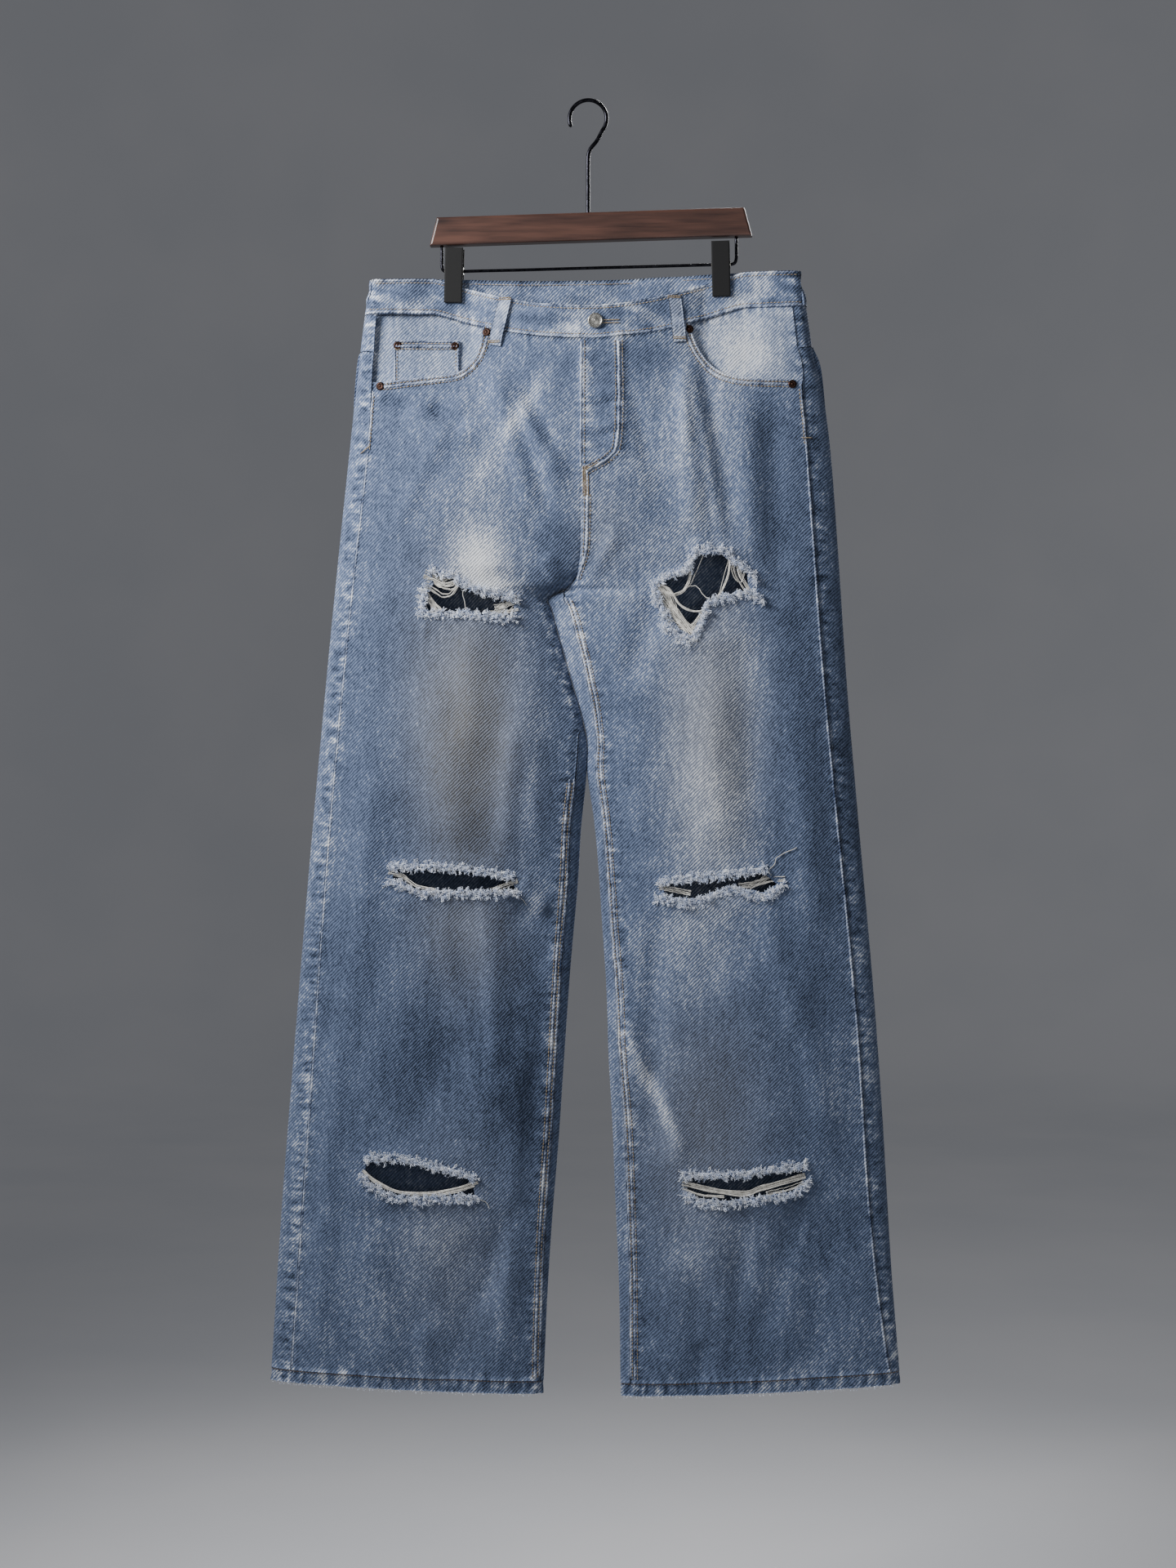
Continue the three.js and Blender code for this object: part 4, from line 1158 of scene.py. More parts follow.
class Items:
    """Small meshes that are repeated along lines."""

    @staticmethod
    def tube(points: Array, radii: Array, sides: int = 4) -> tuple[Array, list]:
        """A closed tube through points.

        Args: points: centre line in millimetres; radii: radius at each point; sides: number of sides.
        Returns: vertices and faces.
        """
        tangent = np.gradient(points, axis=0)
        tangent /= np.linalg.norm(tangent, axis=1, keepdims=True)
        guide = np.array([0.31, 0.87, 0.38])
        first = np.cross(tangent, guide)
        first /= np.linalg.norm(first, axis=1, keepdims=True)
        second = np.cross(tangent, first)
        angles = np.linspace(0, 2 * math.pi, sides, endpoint=False)
        rings = points[:, None] + radii[:, None, None] * (np.cos(angles)[None, :, None] * first[:, None]
            + np.sin(angles)[None, :, None] * second[:, None])
        faces = ring_faces(len(points), sides)
        faces += [tuple(range(sides))[::-1], tuple(range((len(points) - 1) * sides, len(points) * sides))]
        return rings.reshape(-1, 3), faces

    @classmethod
    def build(cls, name: str, tubes: Sequence[tuple[Array, Array]], sides: int = 4) -> Object:
        """A hidden object made of tubes.

        Args: name: name of the object; tubes: centre line and radii of each tube; sides: number of sides.
        Returns: the object.
        """
        points, faces = [], []
        for line, radii in tubes:
            vertices, quads = cls.tube(line, radii, sides)
            offset = sum(len(part) for part in points)
            faces += [tuple(i + offset for i in face) for face in quads]
            points.append(vertices)
        obj = mesh_object(name, np.concatenate(points), faces)
        obj.hide_render = True
        return obj

    @classmethod
    def stitch(cls) -> Object:
        """One stitch: a short arched thread.

        Returns: the stitch object.
        """
        x = np.array([-1.35, -0.9, 0.0, 0.9, 1.35])
        line = np.stack([x, 0.06 * x, 0.28 - 0.2 * np.abs(x)], axis=1)
        return cls.build("stitch_item", [(line, np.array([0.1, 0.38, 0.44, 0.38, 0.1]))], 4)

    @classmethod
    def tuft(cls, seed: int) -> Object:
        """A curly tuft of cut yarn ends.

        Args: seed: fixed seed of the curl.
        Returns: the tuft object.
        """
        rng = np.random.default_rng(seed)
        tubes = []
        for _ in range(4):
            t = np.linspace(0.0, 1.0, 4)
            phase = rng.uniform(0, 2 * math.pi)
            curl = rng.uniform(0.15, 0.75)
            lean = rng.uniform(-1.5, 1.5, 2)
            tall = rng.uniform(4.0, 7.0)
            line = np.stack([curl * np.sin(phase + 4.2 * t) - curl * math.sin(phase) + lean[0] * t,
                curl * np.cos(phase + 4.2 * t) - curl * math.cos(phase) + lean[1] * t,
                tall * np.sin(t * 2.0) / math.sin(1.6) * 0.8], axis=1)
            tubes.append((line, np.linspace(0.34, 0.2, 4)))
        tuft = cls.build(f"tuft_item_{seed}", tubes, 3)
        tuft.data.shade_flat()
        return tuft


# ---- rips
@dataclass(frozen=True)
class Yarn:
    """A bundle of loose weft yarns across a rip, along points given as (x, z)."""

    points: Sequence[Point2]
    count: int = 1
    spread: float = 1.6
    radius: float = 0.5
    rise: float = -0.6


@dataclass(frozen=True)
class Rip:
    """A rip: the open outline, its frayed edges and the yarns left across it."""

    outline: Sequence[Point2]
    frayed: Sequence[Sequence[Point2]]
    yarns: Sequence[Yarn]


RIPS: dict[str, tuple[Rip, ...]] = {"left": (Rip(((-149, -456), (-127, -460), (-122, -467), (-100, -474),
    (-76, -481), (-70, -488), (-70, -499), (-100, -497), (-130, -495), (-157, -493), (-154, -478),
    (-147, -467)), (((-150, -454), (-138, -457), (-126, -459), (-121, -466), (-100, -473), (-76, -479),
    (-68, -483)), ((-162, -496), (-130, -497), (-100, -499), (-67, -501)),
    ((-157, -470), (-158, -482), (-159, -494))), (Yarn(((-156, -458), (-148, -461), (-140, -466),
    (-131, -465), (-124, -461)), 12, 8), Yarn(((-153, -463), (-146, -465), (-136, -470), (-128, -470),
    (-122, -463)), 7, 4.4), Yarn(((-158, -474), (-153, -480), (-149, -488), (-146, -498)), 12, 8, 0.5),
    Yarn(((-66, -481), (-73, -484), (-80, -490), (-88, -498)), 12, 9, 0.5),
    Yarn(((-154, -469), (-146, -474), (-138, -479), (-130, -477), (-124, -469)), 6, 3.4),
    Yarn(((-157, -474), (-150, -484), (-143, -492), (-136, -499)), 8, 4.6, 0.6),
    Yarn(((-114, -468), (-119, -476), (-117, -486), (-116, -498)), 1, 0, 0.4),
    Yarn(((-66, -484), (-76, -487), (-88, -491)), 7, 4),
    Yarn(((-66, -492), (-78, -494), (-92, -496)), 6, 3.4))),
    Rip(((-187, -741), (-160, -740), (-132, -741), (-100, -745), (-72, -751), (-68, -763), (-110, -764),
    (-158, -763), (-172, -757), (-187, -752)), (((-190, -739), (-160, -738), (-132, -738.5), (-100, -743),
    (-70, -749)), ((-192, -754), (-173, -759), (-160, -765), (-110, -766), (-64, -766))),
    (Yarn(((-191, -745), (-178, -749), (-164, -758), (-146, -762)), 8, 4.2, 0.6),
    Yarn(((-66, -753), (-78, -756), (-92, -762)), 7, 4.6),
    Yarn(((-72, -764), (-62, -770), (-58, -776)), 1, 0, 0.4, 1))),
    Rip(((-212, -1023), (-180, -1023), (-146, -1030), (-110, -1041), (-108, -1055), (-145, -1057),
    (-182, -1057), (-203, -1048), (-215, -1038)), (((-215, -1021), (-181, -1020), (-146, -1027),
    (-106, -1038)), ((-219, -1038), (-205, -1050), (-183, -1060), (-145, -1060), (-106, -1059))),
    (Yarn(((-216, -1032), (-203, -1043), (-182, -1052), (-150, -1054), (-122, -1048), (-105, -1042)), 9,
    4.6, 0.62), Yarn(((-108, -1046), (-124, -1052), (-142, -1055)), 5, 3),
    Yarn(((-110, -1058), (-98, -1062), (-94, -1068)), 1, 0, 0.4, 1)))),
    "right": (Rip(((68, -470), (80, -463), (101, -456), (106, -441), (130, -441), (139, -448),
    (154, -459), (156, -476), (137, -479), (114, -485), (109, -500), (101, -518), (90, -512), (80, -497),
    (72, -484)), (((64, -470), (76, -461), (99, -453), (101, -441), (108, -436), (132, -437), (142, -445),
    (158, -458), (163, -466)), ((170, -486), (157, -479), (137, -482), (117, -488), (113, -501),
    (107, -514), (102, -523), (92, -523)), ((92, -524), (82, -514), (72, -511)),
    ((66, -472), (70, -489), (78, -502))), (Yarn(((66, -468), (80, -474), (90, -489), (104, -495),
    (117, -491), (129, -477), (136, -462), (138, -446)), 5, 1.5, 0.75),
    Yarn(((68, -471), (80, -478), (90, -477), (98, -468), (101, -452)), 5, 1.8, 0.6),
    Yarn(((84, -478), (98, -471), (104, -460), (112, -440)), 1, 0, 0.55),
    Yarn(((98, -471), (106, -471), (113, -480), (121, -485)), 1, 0, 0.5),
    Yarn(((85, -478), (86, -486), (88, -496)), 1, 0, 0.45),
    Yarn(((136, -446), (131, -462), (127, -480)), 1, 0, 0.42),
    Yarn(((66, -473), (75, -486), (86, -500), (99, -518)), 18, 9, 0.6),
    Yarn(((68, -470), (78, -480), (84, -494), (96, -508), (106, -516)), 12, 8, 0.5),
    Yarn(((76, -500), (86, -507), (100, -511), (112, -497)), 6, 4, 0.5),
    Yarn(((143, -446), (146, -460), (153, -472), (160, -482)), 8, 6.5, 0.45),
    Yarn(((138, -447), (141, -462), (148, -467), (152, -456)), 2, 1.5, 0.45))),
    Rip(((73, -755), (120, -749), (168, -744), (182, -755), (170, -763), (140, -757), (124, -763),
    (103, -769), (76, -768)), (((69, -753), (120, -747), (150, -744), (172, -739)),
    ((68, -770), (88, -773), (104, -774), (124, -767), (140, -761), (158, -768), (172, -768),
    (189, -757))), (Yarn(((70, -759), (84, -761), (100, -764)), 7, 4),
    Yarn(((190, -750), (176, -751), (160, -755), (146, -757)), 10, 4.5, 0.45),
    Yarn(((176, -745), (168, -752), (156, -758)), 6, 4, 0.45),
    Yarn(((172, -744), (180, -736), (183, -729), (201, -720)), 1, 0, 0.5, 1.4))),
    Rip(((96, -1036), (142, -1036), (178, -1031), (206, -1027), (206, -1040), (196, -1049), (168, -1053),
    (134, -1058), (108, -1056), (97, -1049)), (((92, -1033), (142, -1032), (178, -1027), (210, -1022)),
    ((94, -1053), (107, -1061), (134, -1062), (168, -1057), (198, -1052), (212, -1040))),
    (Yarn(((92, -1041), (118, -1047), (150, -1051), (166, -1046), (180, -1042), (209, -1033)), 10, 4,
    0.66), Yarn(((92, -1048), (110, -1054), (132, -1055)), 5, 3),
    Yarn(((208, -1040), (192, -1046), (172, -1050)), 5, 3)))),}
POCKET_MOUTHS: dict[str, tuple[Point2, ...]] = {"left": ((-101, -212), (-102, -228), (-106, -242),
    (-112, -252), (-125, -262), (-150, -266), (-184, -269.5), (-197, -270.5), (-260, -273), (-260, -180),
    (-101, -180)), "right": ((98, -212), (101, -226), (109, -244), (121, -259), (135, -267), (156, -271),
    (189, -272), (196, -272.5), (260, -275), (260, -180), (98, -180)),}
MOUTH_CORNERS = 8


def rounded(points: Sequence[Point2]) -> list[Point2]:
    """A smoother version of a pocket mouth: its curved edge refined, its corners kept."""
    edge = Path.curve(np.array(points[:MOUTH_CORNERS], float), 5)
    return [tuple(point) for point in edge] + list(points[MOUTH_CORNERS:])


def jagged(points: Sequence[Point2], seed: int) -> list[Point2]:
    """A rip outline with a fine uneven edge.

    Args: points: corners of the rip; seed: fixed seed.
    Returns: refined corners.
    """
    rng = np.random.default_rng(seed)
    closed = np.array([*points, points[0]], float)
    result: list[Point2] = []
    for a, b in zip(closed[:-1], closed[1:]):
        count = max(1, int(np.linalg.norm(b - a) / 4))
        for i in range(count):
            shift = rng.uniform(-0.55, 0.55, 2) if i else (0, 0)
            result.append(tuple(a + (b - a) * i / count + shift))
    return result


# ---- the garment
@dataclass
class Piece:
    """A finished cloth piece ready to be handed to the frame."""

    obj: Object
    node: str
    slot: str
    flat: Point2
    area: float | None = None
    held: str = "hung"

    def dress(self, *materials: Material) -> None:
        """Gives the piece its finish and ties it to the frame.

        Args: *materials: outer finish, then the inner one where there is one.
        """
        self.obj.data.materials.clear()
        for material in materials:
            self.obj.data.materials.append(material)
        WashAndPaintedLight.paint(self.obj)
        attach(self.obj, "root")
        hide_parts(self.node)
        LOG.info("cloth piece %s: %d faces", self.node, len(self.obj.data.polygons))


@dataclass
class Panels:
    """Fronts, backs and yokes."""

    finishes: Finishes
    wall: float = 1.6
    pieces: list[Piece] = field(default_factory=list)

    def build(self) -> None:
        """Builds the six panels."""
        for side in SIDES:
            self.pieces.append(self._front(side))
            self.pieces.append(self._yoke(side))
            self.pieces.append(self._back(side))

    def dress(self) -> None:
        """Finishes the panels."""
        for piece in self.pieces:
            piece.dress(self.finishes.denim, self.finishes.inside)

    @staticmethod
    def _heights(top: float, step: float) -> Array:
        """Nominal heights from a top down to the hem, closer together at the crotch."""
        return np.concatenate([np.arange(top, -438, -step), np.arange(-438, -502, -2),
            np.arange(-502, -1224, -step), [-1226.7]])

    @staticmethod
    def _rows(side: Side, start: Array, end: Array, zn: Array, columns: int) -> Array:
        """Rows of points round one side.

        Args: side: half of the garment; start: first angle of each row; end: last angle of each row; zn:
            nominal height of each row; columns: number of columns.
        Returns: points, rows by columns by 3.
        """
        t = np.linspace(0, 1, columns)[None, :]
        psi = start[:, None] + (end - start)[:, None] * t
        return Form.wrap(side, psi, np.broadcast_to(zn[:, None], psi.shape))

    @staticmethod
    def _mark_inside(obj: Object, count: int) -> None:
        """Gives the lining-side faces the second finish.

        Args: obj: wall of cloth; count: number of outer faces.
        """
        indices = np.zeros(len(obj.data.polygons), np.int32)
        indices[count:2 * count] = 1
        for _ in range(2):
            obj.data.materials.append(None)
        obj.data.polygons.foreach_set("material_index", indices)

    @staticmethod
    def _relief(side: Side, rows: Array) -> Array:
        """Raised seams, the fly lap and the lips of the rips.

        Args: side: half of the garment; rows: points of the outer face.
        Returns: distance moved out at each point.
        """
        x, z = rows[..., 0], rows[..., 2]
        upright, level = WashAndPaintedLight._seams(x, rows[..., 1], z)
        lift = 0.5 * upright * (0.6 + lattice_noise(x * 0.5, z, 6.5, 31))
        lift += 0.3 * level * lattice_noise(x, z * 0.5, 6.5, 32)
        if side is RIGHT:
            lap = smooth(40, 34, x) * smooth(-362, -350, z - 0.10 * (x + 5))
            lift += 1.1 * lap * smooth(-215, -232, z)
        for rip in RIPS[side.name]:
            corners = np.array(rip.outline, float)
            middle = corners.mean(axis=0)
            half = (corners[:, 0].max() - corners[:, 0].min()) / 2
            low, high = corners[:, 1].min(), corners[:, 1].max()
            across = np.exp(-((x - middle[0]) / (half * 1.05)) ** 4)
            lift += across * (2 * bell(z - low + 4, 11) + 1.4 * bell(z - high - 4, 9))
        return lift

    @classmethod
    def front_relief(cls, points: Array) -> Array:
        """Relief of whichever front lies under each point.

        Args: points: points on the outer face.
        Returns: distance moved out.
        """
        inner = np.where(points[..., 2] < CROTCH, LEFT.inner(points[..., 2]), CENTRE_LINE(points[..., 2]))
        return np.where(points[..., 0] < inner, cls._relief(LEFT, points), cls._relief(RIGHT, points))

    def _front(self, side: Side) -> Piece:
        """One front panel with its rips and pocket mouth cut out.

        Args: side: half of the garment.
        Returns: the piece.
        """
        zn = self._heights(WAIST_SEAM - SEAM_GAP, 4)
        out, inn = Form.seam_angles(side, zn)
        rows = self._rows(side, out + 0.004, inn - np.where(zn < CROTCH, 0.012, 0), zn, FRONT_COLUMNS)
        name = f"front_{side.name}"
        obj = Cloth.wall(name, rows, self.wall, -1, lift=self._relief(side, rows))
        self._mark_inside(obj, (len(zn) - 1) * (FRONT_COLUMNS - 1))
        cuts = [rounded(POCKET_MOUTHS[side.name])]
        cuts += [jagged(rip.outline, 40 + i) for i, rip in enumerate(RIPS[side.name])]
        Cloth.cut(obj, cuts)
        return Piece(obj, f"front_panel_{side.name}", "denim", (0.29, 1.04), 0.219)

    @staticmethod
    def _yoke_end(x: Array) -> Array:
        """Height of the yoke seam."""
        return mix(-272, -240, clamp01(np.abs(x) / 215))

    def _settle(self, rows: Array, z: Array) -> Array:
        """Moves rows of points to given heights on the same face.

        Args: rows: points; z: new height of each point.
        Returns: moved points.
        """
        front = Form.on_face(rows[..., 0], z, Face.FRONT)
        back = Form.on_face(rows[..., 0], z, Face.BACK)
        return np.where((rows[..., 1] < -0.001)[..., None], front, back)

    def _yoke(self, side: Side) -> Piece:
        """One back yoke.

        Args: side: half of the garment.
        Returns: the piece.
        """
        zn = np.linspace(WAIST_SEAM - SEAM_GAP, -240, YOKE_ROWS)
        out, _ = Form.seam_angles(side, zn)
        rows = self._rows(side, out - 0.004, np.full_like(zn, -math.pi), zn, YOKE_COLUMNS)
        t = np.linspace(0, 1, len(zn))[:, None]
        z = mix(rows[:1, :, 2], self._yoke_end(rows[..., 0]), t)
        settled = self._settle(rows, z)
        settled[0] = rows[0]
        obj = Cloth.wall(f"yoke_{side.name}", settled, self.wall, 1)
        self._mark_inside(obj, (YOKE_ROWS - 1) * (YOKE_COLUMNS - 1))
        return Piece(obj, f"back_yoke_{side.name}", "denim", (0.24, 0.06), 0.0114)

    def _back(self, side: Side) -> Piece:
        """One back panel, wrapped round both folds of the leg.

        Args: side: half of the garment.
        Returns: the piece.
        """
        zn = self._heights(-241, 6)
        out, inn = Form.seam_angles(side, zn)
        end = -(2 * math.pi - inn) + np.where(zn < CROTCH, 0.012, 0)
        rows = self._rows(side, out - 0.004, end, zn, BACK_COLUMNS)
        upper = zn > -300
        t = ((zn[upper] + 241) / -59)[:, None]
        z = mix(self._yoke_end(rows[upper][..., 0]) - SEAM_GAP, rows[upper][..., 2] - SEAM_GAP, t)
        rows[upper] = self._settle(rows[upper], z)
        upright, _ = WashAndPaintedLight._seams(rows[..., 0], rows[..., 1], rows[..., 2])
        lift = 0.4 * upright * lattice_noise(rows[..., 0] * 0.5, rows[..., 2], 8, 33)
        obj = Cloth.wall(f"back_{side.name}", rows, self.wall, 1, lift=lift)
        self._mark_inside(obj, (len(zn) - 1) * (BACK_COLUMNS - 1))
        return Piece(obj, f"back_panel_{side.name}", "denim", (0.33, 1.0), 0.28)


@dataclass
class Trims:
    """Waistband, hems, pocket pieces and belt loops."""

    finishes: Finishes
    pieces: list[Piece] = field(default_factory=list)
    inset: float = 3.22

    def build(self) -> None:
        """Builds every small cloth piece."""
        self._waistband()
        for side in SIDES:
            self._hem(side)
        self._facing("left", -214.5, -90, -self.inset - 2.1)
        self._facing("right", 209.5, 88, -self.inset)
        self._coin_pocket()
        self._fly_facing()
        for name, sign in (("left", -1), ("right", 1)):
            self._back_pocket(name, CENTRE_X + 0.5 + sign * 108)
        for loop in BELT_LOOPS:
            self._belt_loop(loop)

    def dress(self) -> None:
        """Finishes every piece."""
        pick = {"denim": self.finishes.denim, "denim_seam": self.finishes.seam,
            "denim_pale": self.finishes.pale}
        for piece in self.pieces:
            strap = piece.node.startswith("belt_loop")
            piece.dress(self.finishes.ridge if strap else pick[piece.slot])

    @staticmethod
    def _pucker(rows: Array, seed: int) -> Array:
        """Fine ripple of a stitched double layer.

        Args: rows: points of the outer face; seed: fixed seed.
        Returns: distance moved out.
        """
        x, z = rows[..., 0], rows[..., 2]
        free = 1 - bell(np.abs(x) - 129, 24)
        slanted = lattice_noise(x * 0.5 + z, z - 0.3 * x, 15, seed + 7)
        return (0.35 * lattice_noise(x, z * 0.4, 7, seed) + 1.9 * slanted * free + 0.4 * lattice_noise(x,
            z, 19, seed) * free)

    @staticmethod
    def band_relief(points: Array) -> Array:
        """Ripple of the front of the waistband."""
        return Trims._pucker(points, 51)

    def _waistband(self) -> None:
        """The band: two front lengths and one back length."""
        zn = np.linspace(WAIST_TOP, WAIST_SEAM, 12)[:, None]
        swell = 0.5 * np.sin(np.linspace(0, math.pi, 12))[:, None]
        backs = []
        for side in SIDES:
            psi = np.linspace(0.24, math.pi, 110)[None, :]
            rows = Form.wrap(side, *np.broadcast_arrays(psi, zn))
            obj = Cloth.wall(f"band_front_{side.name}", rows, 2.6, -1,
                lift=self._pucker(rows, 51) + swell)
            self.pieces.append(Piece(obj, f"waistband_front_{side.name}", "denim_seam", (0.215, 0.036)))
            psi = np.linspace(0.21, -math.pi, 110)[None, :-1]
            backs.append(Form.wrap(side, *np.broadcast_arrays(psi, zn)))
        rows = np.concatenate([backs[0], backs[1][:, ::-1]], axis=1)
        obj = Cloth.wall("band_back", rows, 2.6, 1, lift=self._pucker(rows, 52))
        self.pieces.append(Piece(obj, "waistband_back", "denim_seam", (0.43, 0.036)))

    def _hem(self, side: Side) -> None:
        """The turned end of one leg, roped by wear.

        Args: side: half of the garment.
        """
        zn = np.linspace(HEM_TOP, HEM_END, 7)[:, None]
        psi = np.linspace(0, 2 * math.pi, 321)[None, :-1]
        psi = np.where(psi > math.pi, psi - 2 * math.pi, psi)
        rows = Form.wrap(side, *np.broadcast_arrays(psi, zn))
        x = rows[..., 0]
        rope = np.sin(2 * math.pi * (x / 9.5 - zn / 26) + 2.2 * lattice_noise(x, zn, 24, 53))
        lift = 0.45 * rope + 0.3 * lattice_noise(x, zn, 9, 54)
        obj = Cloth.wall(f"leg_end_{side.name}", rows, 2.6, 0, True, lift)
        self.pieces.append(Piece(obj, f"hem_{side.name}", "denim_seam", (0.54, 0.013)))

    def _patch(self, name: str, node: str, slot: str, x: Array, z: Array, face: Face, lift: Array,
            flat: Point2) -> None:
        """A thin patch lying on one face.

        Args: name: name of the object; node: CAD node it stands for; slot: material slot; x: positions
            across, in rows; z: heights, in rows; face: front or back; lift: distance out of the face;
            flat: width and length of the cut, in metres.
        """
        x, z = np.broadcast_arrays(np.asarray(x, float), np.asarray(z, float))
        rows = Form.on_face(x, z, face, lift)
        self.pieces.append(Piece(Cloth.wall(name, rows, 1.2, face.value), node, slot, flat))

    def _facing(self, name: str, x0: float, x1: float, lift: float) -> None:
        """The cloth seen inside one pocket mouth.

        Args: name: side of the pocket; x0: outer end; x1: inner end; lift: distance out of the face,
            negative.
        """
        x = np.linspace(x0, x1, 48)[None, :]
        top = WAIST_SEAM + 7 + 0.008 * x - Form.waist_dip(x) * 29
        z = mix(top, -285, np.linspace(0, 1, 34)[:, None])
        ripple = 0.35 * lattice_noise(x + 0 * z, z, 17, 55)
        self._patch(f"facing_{name}", f"pocket_facing_{name}", "denim_pale", x, z, Face.FRONT,
            lift + ripple, (0.115, 0.08))

    def _coin_pocket(self) -> None:
        """The small pocket on the left facing."""
        x = np.linspace(-187, -125, 30)[None, :]
        z = np.linspace(-230, -276, 22)[:, None]
        ripple = 0.3 * lattice_noise(x + 0 * z, z, 13, 56)
        self._patch("coin_patch", "coin_pocket", "denim_pale", x, z, Face.FRONT, ripple - self.inset,
            (0.062, 0.047))

    def _fly_facing(self) -> None:
        """The strip behind the fly."""
        t = np.linspace(0, 1, 40)[:, None]
        wide = 38 * np.sqrt(1 - smooth(0.72, 1.05, t) * 0.7)
        x = -4.5 + np.linspace(0, 1, 14)[None, :] * wide
        self._patch("fly_strip", "fly_facing", "denim", x, mix(-236, -358, t), Face.FRONT, -self.inset,
            (0.038, 0.122))

    def _back_pocket(self, name: str, middle: float) -> None:
        """One patch pocket on the back.

        Args: name: side of the pocket; middle: centre line.
        """
        s = np.linspace(-1, 1, 44)[None, :]
        t = np.linspace(0, 1, 44)[:, None]
        point = 22 * (1 - np.abs(s)) * smooth(0.5, 1, t)
        x = middle + s * mix(76, 66, t)
        z = mix(-292, -424, t) - point
        ripple = 0.35 * lattice_noise(x, z, 24, 57)
        self._patch(f"hip_pocket_{name}", f"back_pocket_{name}", "denim", x, z, Face.BACK, 2.6 + ripple,
            (0.153, 0.155))

    def _belt_loop(self, loop: "Loop") -> None:
        """One belt loop.

        Args: loop: place of the loop.
        """
        (x0, z0), (x1, z1) = loop.start, loop.end
        length = math.hypot(x1 - x0, z1 - z0)
        t = np.linspace(0, 1, 30)[:, None]
        s = np.linspace(-1, 1, 9)[None, :]
        x = mix(x0, x1, t) - s * 6 * (z1 - z0) / length
        z = mix(z0, z1, t) + s * 6 * (x1 - x0) / length
        lift = 2.1 + 2 * np.sin(math.pi * t) ** 0.7 - 0.35 * s ** 4
        lift = lift + 0.3 * lattice_noise(x, z, 5, 58)
        self._patch(f"loop_{loop.name}", f"belt_loop_{loop.name}", "denim_seam", x, z, loop.face, lift,
            (0.012, 0.05))


@dataclass(frozen=True)
class Loop:
    """Place of a belt loop."""

    name: str
    start: Point2
    end: Point2
    face: Face


BELT_LOOPS = (Loop("front_left", (-78.5, -190), (-89, -237), Face.FRONT),
    Loop("front_right", (83.3, -190), (88.8, -235.5), Face.FRONT),
    Loop("back_left", (-178, -170), (-178, -216), Face.BACK),
    Loop("back_centre", (-5.5, -173), (-5.5, -219), Face.BACK),
    Loop("back_right", (170, -169), (170, -215), Face.BACK))


